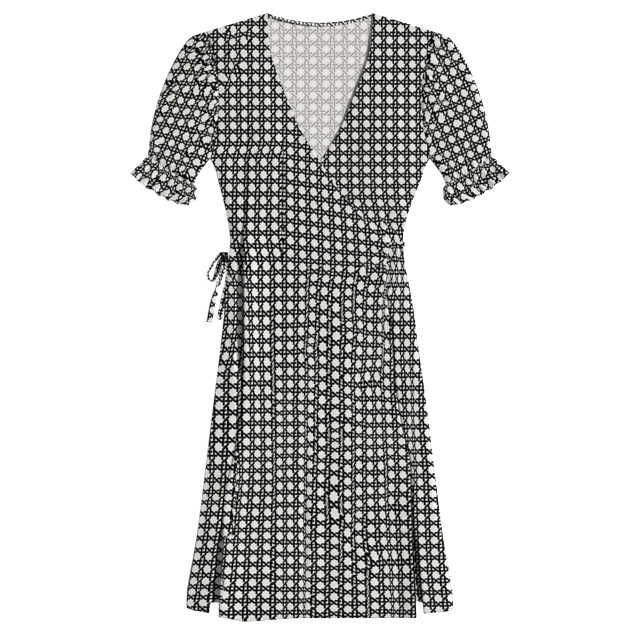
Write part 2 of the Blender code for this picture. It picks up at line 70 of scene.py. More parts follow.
Edge = namedtuple("Edge", "down half lean")
ARMHOLE = named(
    Edge,
    (35, 216, 0), (60, 207, 0), (100, 197, 0), (150, 192.5, 0), (200, 194, 0), (245, 201, 0), (277, 208, 0),
)
SIDE_SEAM = named(
    Edge,
    (277, 208, 0), (298, 198.5, 0), (317, 193, 1), (355, 180.5, 3.5), (393, 170, 5.5), (431, 164.5, 6.5),
    (469, 167, 6), (526, 175.5, 4), (583, 182.3, 1.2), (640, 189.0, 0.8), (754, 204, 0), (925, 225, 0),
    (1040, 240, 0), (1131, 253.5, 0),
)
# Pairs give a second value at places in the first one. Here they are down and across.
NECKLINE = ((0, 100), (47, 98), (78, 93), (104, 85), (161, 63), (222, 37), (249, 21), (283, 0))
WRAP_EDGE = (
    (283, 0), (325, 29), (367, 61), (407, 99), (437, 131), (482, 125.5), (530, 125.5), (597, 134), (697, 141),
    (792, 156), (861, 171.5), (935, 173), (982, 175), (1020, 178), (1058, 180), (1115, 182.5), (1150, 183.5),
)
V_POINT = NECKLINE[-1][0]
UNDER_EDGE = ((283, 0), (325, -29), (367, -61), (407, -99), (437, -124), (697, -118), (1150, -110))
# The fold beside the wearer's right side seam. Its inner lip hangs over the floor.
Fold = namedtuple("Fold", "down middle floor wall")
SIDE_FOLD = named(
    Fold,
    (0, -142, 3, 7), (350, -146, 3, 8), (431, -151, 5, 6), (526, -151, 6.5, 4.5), (660, -151.5, 6.5, 4.5),
    (740, -153, 4, 6), (830, -165, 4, 5), (930, -183, 2.5, 2.5), (977, -185.2, 3, 2.4), (1030, -189, 5, 3),
    (1120, -198.5, 9, 3),
)
FOLD_OVERHANG = ((466, 0), (526, 4.5), (645, 4.5), (720, 0), (925, 0), (1000, 4.5))
FOLD_LIP_WALL = 5.0
WRAP_FOLD = ((470, 5), (860, 3.5), (935, 3.5), (982, 6), (1020, 8), (1115, 12.3), (1150, 14))
LIP_WALL = 2.5
TUCKED_IN = 12.0
BODICE_SHARES = (0.0, 0.2, 0.45, 0.75)
FOLD_FROM = 466.0
FOLD_FORMS = 60.0
ROLL = 45.0
ROLL_SHARE = 0.35
EDGE_ROLL = 40.0
CREST_SHARE, CREASE_SHARES = 0.45, (0.37, 0.75)
INNER_CLEAR, INNER_SHARE, LEFT_CREST_SHARE = 2.0, 0.25, 0.75

# The height at places down each line of the fronts. All start one layer up.
RIGHT_FRONT_RISES = {
    "side": (
        (30, 2.7), (260, 2.7), (300, LAYER), (430, LAYER), (443, 2 * LAYER), (458, 2 * LAYER),
        (480, LAYER), (1150, LAYER),
    ),
    "crest": ((60, 3.4), (300, 3.6), (460, 3.2), (640, 2.8), (1150, 3.2)),
    "outer lip": (
        (60, 3.6), (400, 3.8), (460, 3.2), (560, 3.8), (650, 4.8), (960, 4.6), (1150, 4.8),
    ),
    "outer floor": (
        (60, 3.6), (340, 3.9), (410, 3.2), (462, 2 * LAYER), (490, LAYER), (640, LAYER),
        (715, 4.4), (920, 4.2), (1000, LAYER), (1150, LAYER),
    ),
    "inner lip": (
        (60, 3.7), (350, 4.4), (425, 8.0), (470, 10.8), (640, 11.0), (705, 7.2), (825, 6.2),
        (920, 5.6), (1000, 8.6), (1060, 10.6), (1120, 10.6), (1150, 8.5),
    ),
    "roll": (
        (60, 3.8), (200, 5.0), (350, 4.0), (450, 3.6), (920, 3.8), (1010, 6.6), (1105, 6.8),
        (1150, 3.4),
    ),
    "first crease": (
        (60, 3.6), (200, 4.8), (350, 3.6), (450, 3.1), (620, 3.2), (800, 4.8), (1105, 4.8),
        (1150, 2.2),
    ),
    "second crease": (
        (60, 3.3), (300, 3.3), (450, 3.1), (520, 3.3), (640, 4.6), (1105, 4.4), (1150, 2.0),
    ),
    "edge roll": ((60, 3.1), (450, 3.1), (1105, 3.4), (1150, 0.9)),
    "edge": ((60, 3.0), (860, 3.3), (960, 6.2), (1150, 7.2)),
}
RIGHT_FRONT_RISES["inner floor"] = RIGHT_FRONT_RISES["outer floor"]
LEFT_FRONT_RISES = {
    "edge": ((60, 4.6), (160, 4.4), (270, LAYER), (1150, LAYER)),
    "inner": ((60, 4.4), (200, 4.6), (270, LAYER), (1150, LAYER)),
    "floor": (
        (60, 3.8), (200, 4.8), (330, 3.0), (400, LAYER), (860, LAYER), (960, 1.0), (1150, 1.0),
    ),
    "lip": (
        (60, 3.6), (220, 4.8), (360, 3.4), (425, LAYER), (470, LAYER), (560, 4.0), (860, 4.0),
        (960, 6.6), (1150, 7.6),
    ),
    "crest": (
        (60, 3.4), (260, 3.6), (380, 2.8), (425, LAYER), (470, LAYER), (560, 3.8), (860, 3.8),
        (960, 5.6), (1150, 6.2),
    ),
    "side": ((30, 2.7), (260, 2.7), (300, LAYER), (1150, LAYER)),
}
Guide = namedtuple("Guide", "name hem columns")
RIGHT_FRONT_GUIDES = named(
    Guide,
    ("side", 1131, 8), ("crest", 1136, 8), ("outer lip", 1140, 6), ("outer floor", 1120, 4),
    ("inner floor", 1120, 5), ("inner lip", 1147, 12), ("roll", 1156, 16), ("first crease", 1150, 22),
    ("second crease", 1150, 16), ("edge roll", 1149.5, 12), ("edge", 1149, 0),
)
LEFT_FRONT_GUIDES = named(
    Guide,
    ("edge", 1105, 24), ("inner", 1112, 10), ("floor", 1120, 6), ("lip", 1140, 14), ("crest", 1137, 14),
    ("side", 1132, 0),
)
BACK_COLUMNS = 60

# How the print lies down a panel: the row of the repeat, and across it where a column is and the pitch.
Print = namedtuple("Print", "down row column pitch")
RIGHT_PRINT = named(
    Print,
    (0, -5.4, -56, 22.0), (123.5, 0, -56, 22.0), (284, 7, -56, 21.7), (480, 15, -56, 23.0),
    (728, 25, -56, 21.1), (853, 31, -56, 22.4), (1039, 39, -56, 23.8), (1160, 44.5, -56, 23.8),
)
LEFT_PRINT = named(
    Print,
    (0, -1.3, 110, 21.8), (255.5, 10, 110, 21.8), (405, 17, 115, 22.0), (480, 20, 148, 21.0),
    (602, 25, 152, 22.8), (845, 35, 163.4, 22.8), (1111, 47, 180.5, 22.8), (1160, 49.2, 183.6, 22.8),
)
BACK_PRINT = named(Print, (0, -1.1, 11.4, 24.1), (1160, 51.4, 11.4, 24.1))
# The skirt of the right front hangs in soft pleats. Its charts give, down it, where each column of discs
# is, on the strip beside the side fold and past it, and for the columns of each pleat the rows there.
STRIP_FIRST, SKIRT_FIRST = -7, -5
STRIP_COLUMNS = (
    (479, -186, -167, -153),
    (583, -188, -169, -152),
    (652, -203, -178.5, -159.5),
    (690, -216.5, -190.5, -164.5),
    (798, -218.5, -192, -166),
    (876, -215.5, -195, -171),
    (963, -224, -202, -178),
    (1032, -233.5, -211, -189),
    (1072, -239, -216.5, -191),
    (1119, -246, -223, -192.5),
)
SKIRT_COLUMNS = (
    (479, -154, -142.5, -125.5, -102.5, -78, -57, -34, -13, 9.5, 32, 56, 78, 100, 122, 131, 150),
    (583, -153, -140.5, -122.5, -102.5, -78, -57, -34, -15, 6, 30, 53, 74, 94, 114.5, 125, 146),
    (652, -157, -139, -120.5, -101.5, -78, -57, -34, -16, 5, 30, 53, 74, 94.5, 113, 126.5, 147.5),
    (690, -164.5, -138.5, -119.5, -100.5, -77, -57, -34, -17, 4.5, 29.5, 53, 74, 95, 111, 126.5, 148),
    (798, -166, -138.5, -118.5, -99, -76, -57, -34, -19, 3.5, 29, 53, 74, 94, 112.5, 131.5, 154),
    (876, -158, -141.5, -119, -97, -76, -57, -34, -20.5, 3, 28.5, 53, 74, 94.5, 116, 135, 156.5),
    (963, -167.5, -147, -123.5, -100, -76, -57, -34, -22.5, 2, 28, 53, 74, 97, 120, 137, 158.5),
    (1032, -172, -150, -126.5, -101.5, -76, -57, -34, -24, 1, 27.5, 53, 76, 101, 124.5, 140.5, 161),
    (1119, -182, -155, -129.5, -103.5, -76, -57, -34, -25.5, 0.5, 26.5, 53, 79, 104.5, 131, 144.5, 165),
)
# Where the strip beside the fold ends, at the fold's inner lip and further down at its floor.
STRIP_END = (
    (479, -147), (660, -147), (735, -154), (811, -160.5), (868, -158), (920, -160.5), (958, -166.5),
    (992, -167.5), (997, -184.5), (1039, -183.5), (1077, -184.5), (1119, -187.5),
)
# Where the columns of the left front are, from the first past the one that LEFT_PRINT gives.
LEFT_COLUMNS = (
    (397, 139.5, 160.5, 182, 204),
    (430, 146, 163, 184, 206),
    (454, 149, 164, 184, 206),
    (503, 151, 161, 183, 205),
    (530, 148, 163.5, 184, 206),
    (555, 146, 163.5, 184.5, 206),
    (602, 145.5, 165.5, 185, 207),
    (652, 147.5, 164.5, 182.5, 204),
    (701, 149, 168.5, 180.5, 203),
    (771, 153, 170.5, 181.5, 203.5),
    (821, 158, 172, 184.5, 207),
    (871, 161, 174, 188, 212),
    (925, 158, 170, 190.5, 214.5),
    (982, 158, 171, 192.5, 216),
    (1030, 160, 174, 195, 217.5),
    (1077, 162, 176.5, 197.5, 220.5),
    (1113, 165, 180, 201, 224),
    (1160, 169, 184, 205, 228),
)
LEFT_FIRST, LEFT_FROM, LEFT_FORMS = 1, 345.0, 50.0
LEFT_PRINT_FROM = 10  # the line of faces, from the side seam, that its print is laid from
SKIRT_PITCH = 25.0
SKIRT_FROM, SKIRT_FORMS = 482.0, 50.0
Hung = namedtuple("Hung", "columns down rows")
STRIP_DOWN = (482, 526, 575, 627, 652, 676, 697, 746, 798, 850, 899, 940, 986, 1032, 1079, 1120, 1160)
STRIP_ROWS = (15, 17, 19, 21, 22, 23, 24, 26, 28, 30, 32, 34, 36, 38, 40, 42, 43.7)
BESIDE_DOWN = (482, 531, 585, 636, 690, 743, 791, 837, 880, 925, 971, 1013, 1058, 1104, 1150)
BESIDE_ROWS = (15, 17, 19, 21, 23, 25, 27, 29, 31, 33, 35, 37, 39, 41, 43)
PLEAT_DOWN = (480, 526, 574, 604, 640, 688, 735, 783, 830, 878, 925, 973, 1020, 1068, 1115, 1160)
PLEATS = (
    (15, 17, 18.9, 20, 21.9, 24.2, 26.3, 28.2, 29.9, 31.8, 33.7, 35.7, 37.9, 40.1, 42.5, 44.4),
    (14.9, 16.9, 18.7, 19.9, 21.2, 23.2, 25, 26.8, 28.6, 30.7, 32.6, 34.7, 36.9, 39.1, 41.3, 43.2),
    (14.8, 16.8, 18.5, 19.6, 21, 23, 24.9, 27, 29.5, 31.6, 33.2, 34.8, 36.8, 39.2, 41.3, 43.4),
    (14.7, 16.8, 19, 20.5, 22.1, 23.8, 25.8, 27.8, 29.6, 31.5, 33.6, 35.6, 37.2, 39.1, 41.2, 43.3),
    (14.6, 16.3, 18.2, 19.4, 20.9, 22.8, 24.6, 26.6, 28.8, 30.8, 32.7, 35, 36.9, 38.9, 41.2, 43.3),
    (14.1, 16.1, 18.1, 19.3, 20.9, 22.8, 24.6, 26.5, 28.7, 30.7, 32.8, 34.8, 36.7, 38.5, 40.5, 42.6),
    (14.0, 15.8, 18.3, 19.3, 20.4, 22.4, 24.5, 26.5, 28.8, 31.0, 32.9, 34.7, 36.7, 38.5, 40.5, 42.5),
)
PLEAT_ENDS = (2, 3, 4, 5, 6, 8, 11)
# The charts past the strip, in order across: the column that each ends at, and the rows down it.
SKIRT_CHART = (
    Hung(-2, BESIDE_DOWN, BESIDE_ROWS),
    Hung(1, None, None),
    *(Hung(end, PLEAT_DOWN, rows) for end, rows in zip(PLEAT_ENDS, PLEATS)),
)
# The maps of the right front: two beside the dart, then the strip's, and then those of SKIRT_CHART.
STRIP_MAP, SKIRT_MAP = 2, 3
# How much the rows of the right front sink towards the wearer's left, from the dart on.
ROW_TILT = ((200, 0), (260, 0.14), (380, 0.14), (440, 0.115), (540, 0), (1160, 0))
DART_ACROSS, DART_MIDDLE = -70.0, 380.0
DART_SHIFT = 0.35
DART = ((248, 0), (285, 1), (415, 1), (475, 0))


def curve(rows, column, at):
    """A column of named rows at places down them."""
    return smooth([row[0] for row in rows], [getattr(row, column) for row in rows], at)


def follow(pairs, at):
    return smooth(*zip(*pairs), at)


def smooth(places, values, at):
    """Values at places in between, on a smooth curve that never overshoots."""
    places, values = np.array(places, float), np.array(values, float)
    steps = np.diff(places)
    slopes = np.diff(values) / steps
    product = slopes[:-1] * slopes[1:]
    total = np.where(product > 0, slopes[:-1] + slopes[1:], 1)
    leans = np.concatenate([slopes[:1], np.where(product > 0, 2 * product / total, 0), slopes[-1:]])
    at = np.clip(at, places[0], places[-1])
    i = np.clip(np.searchsorted(places, at, side="right") - 1, 0, len(steps) - 1)
    t = (at - places[i]) / steps[i]
    return (
        values[i] * (1 + 2 * t) * (1 - t) ** 2
        + values[i + 1] * t * t * (3 - 2 * t)
        + steps[i] * (leans[i] * t * (1 - t) ** 2 - leans[i + 1] * t * t * (1 - t))
    )


def ease(t):
    t = np.clip(t, 0.0, 1.0)
    return t * t * (3 - 2 * t)


def mix(a, b, share):
    return a + (b - a) * share


def side_edge(down, side):
    half = np.where(down < UNDERARM, curve(ARMHOLE, "half", down), curve(SIDE_SEAM, "half", down))
    return side * half - np.where(down < UNDERARM, 0, curve(SIDE_SEAM, "lean", down))


def wrap_edge(down):
    return np.where(down < V_POINT, -follow(NECKLINE, down), follow(WRAP_EDGE, down))


def under_edge(down):
    return np.where(down < V_POINT, follow(NECKLINE, down), follow(UNDER_EDGE, down))


def over_tie(station):
    return LAYER * (1 - np.clip((abs(station - TIE_STATION) - TIE_FLAT) / TIE_RAMP, 0, 1))


def section_down(station, across, neck_scoop=0.0):
    share = np.clip((abs(across) - NECK_HALF) / (SHOULDER_HALF - NECK_HALF), 0, 1)
    scoop = neck_scoop * np.maximum(1 - (across / NECK_HALF) ** 2, 0)
    top = (SHOULDER_DROP * share + scoop) * (1 - ease(station / SHOULDER_FADES))
    tilt = TIE_SLOPE * (1 - ease(abs(station - TIE_STATION) / TIE_REACH))
    return station + top - tilt * across


def edge_at(station, edge):
    down = station
    for _ in range(EDGE_STEPS):
        down = mix(down, section_down(station, edge(down)), EDGE_STEP)
    return edge(down)


def side_at(station, side):
    return edge_at(station, lambda down: side_edge(down, side))


def right_front_lines(station):
    side, edge = side_at(station, SIDE_RIGHT), edge_at(station, wrap_edge)
    middle, floor, wall = (curve(SIDE_FOLD, column, station) for column in ("middle", "floor", "wall"))
    outer_lip, beyond = middle - floor - wall, middle + floor + wall
    lip = beyond - FOLD_LIP_WALL
    room = ROLL_SHARE * (edge - beyond)
    roll, edge_roll = beyond + np.minimum(ROLL, room), edge - np.minimum(EDGE_ROLL, room)
    first, second = (mix(roll, edge_roll, share) for share in CREASE_SHARES)
    crest = mix(side, outer_lip, CREST_SHARE)
    floors = middle - floor, lip + follow(FOLD_OVERHANG, station)
    lines = side, crest, outer_lip, *floors, lip, roll, first, second, edge_roll, edge
    return {guide.name: line for guide, line in zip(RIGHT_FRONT_GUIDES, lines)}


def left_front_lines(station):
    side, edge = side_at(station, SIDE_LEFT), edge_at(station, under_edge)
    wrap = edge_at(station, wrap_edge)
    inner = np.maximum(wrap + INNER_CLEAR, mix(edge, side, INNER_SHARE))
    lip = wrap + follow(WRAP_FOLD, station)
    skirt = wrap - TUCKED_IN, lip - LIP_WALL, lip, mix(lip, side, LEFT_CREST_SHARE)
    share = ease((station - FOLD_FROM) / FOLD_FORMS)
    lines = [mix(mix(inner, side, at), line, share) for at, line in zip(BODICE_SHARES, skirt)]
    return {guide.name: line for guide, line in zip(LEFT_FRONT_GUIDES, (edge, *lines, side))}


def front_grid(lines, guides, rises, station):
    """Arrays of across, down and height, with a row for each station and a column for each line of faces."""
    hem_share = np.clip((station - HEM_STATION) / HEM_REACH + 1, 0, 1)
    grid = []
    for guide, following in zip(guides, (*guides[1:], guides[-1])):
        low, high = (follow(((0, LAYER), *rises[end.name]), station) for end in (guide, following))
        for share in np.arange(max(guide.columns, 1)) / max(guide.columns, 1):
            across = mix(lines[guide.name], lines[following.name], share)
            hem = mix(guide.hem, following.hem, ease(share)) - HEM_STATION
            down = section_down(station, across) + hem * hem_share
            grid.append((across, down, mix(low, high, ease(share)) + over_tie(station)))
    return np.moveaxis(np.array(grid), 0, 2)


def hidden_length(across, height, start):
    """How much more cloth there is than width, from the start column outwards, where it rises and falls."""
    step = np.hypot(np.diff(across, axis=1), np.diff(height, axis=1)) - np.diff(across, axis=1)
    total = np.concatenate([np.zeros((len(across), 1)), np.cumsum(step, axis=1)], axis=1)
    return total - total[:, start : start + 1]


def print_cells(table, across, down, extra):
    """The place in the print's repeat, in cells."""
    pitch = curve(table, "pitch", down)
    column = (across - curve(table, "column", down) + extra) / pitch
    return np.stack([column, -curve(table, "row", down)], axis=-1)


def run_along(points):
    """How far along a path each of its points is."""
    steps = np.linalg.norm(np.diff(np.array(points, float), axis=0), axis=1)
    return np.concatenate([[0], np.cumsum(steps)])


def points_in(points, faces, closed):
    """Whether the faces of a tube point inwards, or those of a sheet down."""
    corners = points.reshape(-1, 3)[faces]
    normals = np.cross(corners[:, 2] - corners[:, 0], corners[:, 3] - corners[:, 1])
    if not closed:
        return normals[:, 2].sum() < 0
    middles = corners.mean(axis=1)
    return ((middles - middles.mean(axis=0)) * normals).sum() < 0


def added(name, data):
    obj = bpy.data.objects.new(name, data)
    bpy.context.scene.collection.objects.link(obj)
    return obj


def make_cloth(name, points, cells, materials, thickness=CLOTH, closed=False, parts=None):
    """Cloth through a grid of points in millimetres, with its print map in cells. With parts, cells holds
    several maps and parts says which one holds at each edge of each row of faces, and a jump between two is
    less than half a cell. The last column of a closed one lies on its first, and only its cells are used."""
    if closed:
        points = points[:, :-1]
    rows, columns = points.shape[:2]
    across = columns if closed else columns - 1
    i, j = np.meshgrid(np.arange(rows - 1), np.arange(across), indexing="ij")
    following = (j + 1) % columns
    corners = [(i, j, j), (i + 1, j, j), (i + 1, following, j + 1), (i, following, j + 1)]
    faces = np.stack([a * columns + b for a, b, _ in corners], axis=-1).reshape(-1, 4)
    if parts is None:
        uv = np.stack([cells[a, c] for a, _, c in corners], axis=2)
    else:
        maps, near, far = np.stack(cells), parts[:, :-1], parts[:, 1:]
        ends = [maps[part, i, j + 1] + maps[part, i + 1, j + 1] for part in (near, far)]
        jump = np.round((ends[1] - ends[0]) / 2)
        uv = [maps[near, a, c] if k < 2 else maps[far, a, c] - jump for k, (a, _, c) in enumerate(corners)]
        uv = np.stack(uv, axis=2)
    uv = uv.reshape(-1, 4, 2)
    if points_in(points, faces, closed):
        faces, uv = faces[:, ::-1], uv[:, ::-1]
    mesh = bpy.data.meshes.new(name)
    mesh.from_pydata((points.reshape(-1, 3) * MM).tolist(), [], faces.tolist())
    layer = mesh.uv_layers.new(name="Print")
    layer.data.foreach_set("uv", uv.reshape(-1).astype(np.float32))
    mesh.shade_smooth()
    for material in materials:
        mesh.materials.append(material)
    obj = added(name, mesh)
    wall = obj.modifiers.new("Cloth", "SOLIDIFY")
    wall.thickness, wall.offset = thickness * MM, -1 if closed else 1
    wall.use_quality_normals = True
    wall.material_offset, wall.material_offset_rim = 1, 0
    bpy.ops.object.select_all(action="DESELECT")
    bpy.context.view_layer.objects.active = obj
    obj.select_set(True)
    bpy.ops.object.modifier_apply(modifier=wall.name)
    obj.select_set(False)
    return obj


def placed(across, down, height):
    return np.stack([across, LENGTH / 2 - down, height], axis=-1)


# The sleeves and their ruffles: outlines in plan, for the wearer's left side.
SLEEVE_OUTER = ((216, 35), (241, 43), (257, 59), (285, 108), (301, 146), (313, 184), (321, 222), (327, 270))
SLEEVE_INNER = ((208, 277), (220, 292), (232, 309), (239, 325))
CUFF_LINE = ((327, 270), (285, 300), (239, 325))
RUFFLE_OUTER = ((327, 270), (340, 284), (361, 304))
RUFFLE_INNER = ((239, 325), (233.5, 334), (234, 350), (246, 366))
RUFFLE_HEM = ((361, 304), (338, 325), (313, 341), (290, 354), (270, 362), (246, 366))
OUT_ACROSS, OUT_DOWN = 0.53, 0.85  # the direction out of a sleeve at its cuff
ARMHOLE_SEAM = 0.8
SEAM_TUCK = 3.0  # the sleeve's edge goes in between the front and the back
SEAM_RUN = 0.035
PINCHED_UPPER, PINCHED_UNDER = 2.0, 0.75
SLEEVE_ROWS, RUFFLE_ROWS = 90, 26
UPPER_COLUMNS, UNDER_COLUMNS = 150, 34
END_CROWDING = 0.45
SLEEVE_EDGE = 15.0  # the upper layer rounds down to the fold at the edge over this width
RUFFLE_EDGE = 5.0
UNDER_EDGE_ROUND = 3.0
FOLD_HEIGHT = 1.1
SLEEVE_RISE = 4.2
CUFF_DIP = 1.4
CUFF_RUN = 0.06
PUFF = 1.0
SHIRR_HEIGHT, SHIRR_PITCH = 0.35, 6.5
SHIRR_DRIFT, SHIRR_DRIFTS = 1.3, 9  # how unevenly spaced it is
RUFFLE_RISE, RUFFLE_RIPPLE = 2.6, 0.7
RUFFLE_SCALLOP = 2.2
RUFFLE_FULLNESS = 1.25
RUFFLE_LENGTH = 42.0
WAVES = 6  # scallops across the face of a ruffle
WAVE_FULL = 0.9  # the share of a ruffle's length at which they are full
WAVE_DRIFT, WAVE_DRIFTS = 0.5, 1.7
RIPPLE_LAG, SWAY_LEAD = 1.1, 0.8  # how far these lie from the waves, as angles
# The print on a sleeve, along and across its own axis. It starts where one of its discs is.
Lie = namedtuple("Lie", "across down turn columns rows fan lean bend")
SLEEVE_PRINT = {
    SIDE_RIGHT: Lie(273.0, 142.9, math.radians(5.9), 20.6, 20.9, 0.187, 0.407, 0.00033),
    SIDE_LEFT: Lie(224.2, 106.2, math.radians(32.1), 20.2, 21.6, -0.068, -0.064, 0.00022),
}
SLEEVE_MIDDLE = 130.0  # down, where the rows and columns of the print are square to each other
PRINT_PITCH = 21.0
RUFFLE_PITCH = 18.5
# How the gathers at the armhole shift the print: how often, by how many cells, how abruptly and how far down.
SLEEVE_JOGS, SLEEVE_JOG, JOG_STEEP, JOG_FADES = 8, (0.07, 0.12), 3, 0.3
JOG_DRIFT, JOG_DRIFTS = 0.5, 5
RUFFLE_SWAY, RUFFLE_DIP = 0.8, 2.2

SLEEVE_SEED, RUFFLE_SEED = 11, 31
# Gathers: how many, where they start and end, and their length, height and width, with how much these vary.
HEAD_GATHERS = 13, 0.02, 0.66, 0.42, 1.5, 0.020
CUFF_GATHERS = 13, 0.03, 0.97, 0.3, 0.9, 0.022
GATHERS_VARY = (0.45, 1.15), (0.6, 1.15), (0.75, 1.3)
GATHER_OPENS, GATHER_LEANS, GATHER_STRAYS = 1.2, 0.05, 0.3
SHIRR_SLEEVE, SHIRR_RUFFLE = 0.07, 0.3  # the shares of them that the shirring reaches
# Soft bumps pull the print about: how many, the box that they lie in, the most that one pulls, and its reach.
BUMPS_VARY = 0.7, 1.3
SLEEVE_PULLS = 44, (200, 40), (325, 310), 0.3, 11
RUFFLE_PULLS = 26, (235, 275), (360, 360), 0.25, 10
# On the fronts, with the seed of their own: at the waist, all over the skirt, and at the right armhole.
FRONT_PULLS = (
    (4, 12, (100, 385), (160, 480), 0.22, 9),
    (5, 30, (-60, 600), (150, 1120), 0.12, 22),
    (8, 10, (-190, 30), (-135, 130), 0.22, 11),
)
# Two more on the skirt: across, down, the columns and rows that it pulls, and its reach.
SKIRT_BUMPS = (-22, 640, 0.2, -0.15, 18), (96, 690, 0.15, -0.1, 20)


def along(points, share):
    """Places in plan at shares of the way along a smooth curve through the given ones."""
    at = run_along(points)
    return [smooth(at, values, share * at[-1]) for values in zip(*points)]


def patch(start, end, outer, inner, s, v):
    """Arrays of across and down in the plan patch between four curves."""
    result = []
    a, b, c, d = along(start, s), along(end, s), along(outer, v), along(inner, v)
    for k in range(2):
        ruled = mix(mix(start[0][k], start[-1][k], s), mix(end[0][k], end[-1][k], s), v)
        result.append(mix(a[k], b[k], v) + mix(c[k], d[k], s) - ruled)
    return result


def gathers(rng, count, start, end, *size):
    """The place, length, height, width and lean of unevenly spaced gathers."""
    found = []
    for k in range(count):
        place = mix(start, end, (k + 0.5 + rng.uniform(-GATHER_STRAYS, GATHER_STRAYS)) / count)
        own = [value * rng.uniform(*spread) for value, spread in zip(size, GATHERS_VARY)]
        found.append((place, *own, rng.uniform(-GATHER_LEANS, GATHER_LEANS)))
    return found


def gathered(ridges, s, run):
    """The height that the gathers add at a place s along their edge, and run away from it."""
    total = np.zeros_like(s)
    for place, length, height, width, lean in ridges:
        round_top = np.exp(-(((s - place - lean * run) / (width * (1 + GATHER_OPENS * run))) ** 2))
        total += height * round_top * (1 - ease(run / length))
    return total


def crowded(count):
    """Shares from 0 to 1, closer together at both ends."""
    even = np.linspace(0, 1, count + 1)
    return mix(even, (1 - np.cos(math.pi * even)) / 2, END_CROWDING)


def round_off(distance, reach):
    """From 0 at a fold to 1 at reach, as a quarter of a circle."""
    return np.sqrt(np.clip(1 - (1 - np.clip(distance / reach, 0, 1)) ** 2, 0, 1))


class Tube:
    """A flat tube of cloth. Its ring runs from the inner edge along the under layer and back on the upper."""

    def __init__(self, start, end, outer, inner, rows, edge, rise):
        v = np.linspace(0, 1, rows + 1)[:, None]
        s = np.concatenate([1 - crowded(UNDER_COLUMNS), crowded(UPPER_COLUMNS)[1:]])[None, :]
        self.s, self.v = s + 0 * v, v + 0 * s
        self.across, self.down = patch(start, end, outer, inner, self.s, self.v)
        ends = [patch(start, end, outer, inner, self.v * 0 + at, self.v) for at in (0, 1)]
        self.width = np.hypot(ends[0][0] - ends[1][0], ends[0][1] - ends[1][1])
        self.upper = np.arange(s.shape[1])[None, :] >= UNDER_COLUMNS + 0 * self.v
        from_fold = np.minimum(self.s, 1 - self.s) * self.width
        self.dome = np.where(self.upper, round_off(from_fold, edge), round_off(from_fold, UNDER_EDGE_ROUND))
        self.height = mix(FOLD_HEIGHT, np.where(self.upper, rise, 0.0), self.dome)

    def lift(self, amount):
        self.height = self.height + np.where(self.upper, self.dome * amount, 0)

    def pinch(self, share):
        flat = mix(FOLD_HEIGHT, np.where(self.upper, PINCHED_UPPER, PINCHED_UNDER), self.dome)
        self.height = mix(self.height, flat, share)
        self.across = self.across - SEAM_TUCK * share

    def build(self, name, side, cells, materials):
        """The print goes on round the outer fold, from the upper layer to the under one."""
        fold = cells[:, UNDER_COLUMNS : UNDER_COLUMNS + 1, 0]
        cells[..., 0] = np.where(self.upper, cells[..., 0], 2 * fold - cells[..., 0])
        points = placed(side * self.across, self.down, self.height)
        return make_cloth(name, points, cells, materials, closed=True)


def sleeve_cells(across, down, extra, side):
    """The print's cells on a sleeve: its columns follow the outer edge, and its rows turn with the sleeve."""
    lie = SLEEVE_PRINT[side]
    sine, cosine = math.sin(lie.turn), math.cos(lie.turn)
    x, y = across - lie.across, down - lie.down
    run = x * sine + y * cosine
    inward = y * sine - x * cosine
    from_middle = run + lie.down - SLEEVE_MIDDLE
    row = run - lie.fan * inward * from_middle / SLEEVE_MIDDLE
    column = inward + lie.lean * run - lie.bend * (from_middle**2 - (lie.down - SLEEVE_MIDDLE) ** 2)
    return np.stack([-side * (column + extra) / lie.columns, -row / lie.rows], axis=-1)


def shirring(tube, width):
    drift = SHIRR_DRIFT * np.sin(SHIRR_DRIFTS * tube.s)
    return SHIRR_HEIGHT * np.cos(2 * math.pi * tube.s * width / SHIRR_PITCH + drift)


def make_sleeve(name, side, materials):
    rng = random.Random(SLEEVE_SEED + side)
    armhole = [(edge.half + ARMHOLE_SEAM, edge.down) for edge in ARMHOLE]
    outer, inner = (armhole[0], *SLEEVE_OUTER[1:]), (armhole[-1], *SLEEVE_INNER[1:])
    tube = Tube(armhole, CUFF_LINE, outer, inner, SLEEVE_ROWS, SLEEVE_EDGE, SLEEVE_RISE)
    s, v = tube.s, tube.v
    tube.lift(PUFF * np.sin(math.pi * v) * np.sin(math.pi * s))
    tube.lift(gathered(gathers(rng, *HEAD_GATHERS), s, v))
    tube.lift(gathered(gathers(rng, *CUFF_GATHERS), s, 1 - v))
    tube.lift(shirring(tube, tube.width[-1, 0]) * (1 - ease((1 - v) / SHIRR_SLEEVE)))
    tube.lift(-CUFF_DIP * ease((v - 1 + CUFF_RUN) / CUFF_RUN))
    chord = np.hypot(np.diff(tube.across, axis=1), np.diff(tube.down, axis=1))
    longer = np.hypot(chord, np.diff(tube.height, axis=1)) - chord
    extra = np.cumsum(np.concatenate([0 * s[:, :1], longer * tube.upper[:, 1:]], axis=1), axis=1)
    tube.pinch(1 - ease(v / SEAM_RUN))
    cells = sleeve_cells(tube.across, tube.down, extra, side)
    cells = scrambled(cells, tube.across, tube.down, bumps_in(rng, *SLEEVE_PULLS))
    drift = JOG_DRIFT * np.sin(JOG_DRIFTS * s + side)
    jog = np.tanh(JOG_STEEP * np.sin(2 * math.pi * (SLEEVE_JOGS * s + drift)))
    cells += (jog * (1 - ease(v / JOG_FADES)))[..., None] * SLEEVE_JOG
    return tube.build(name, side, cells, materials)


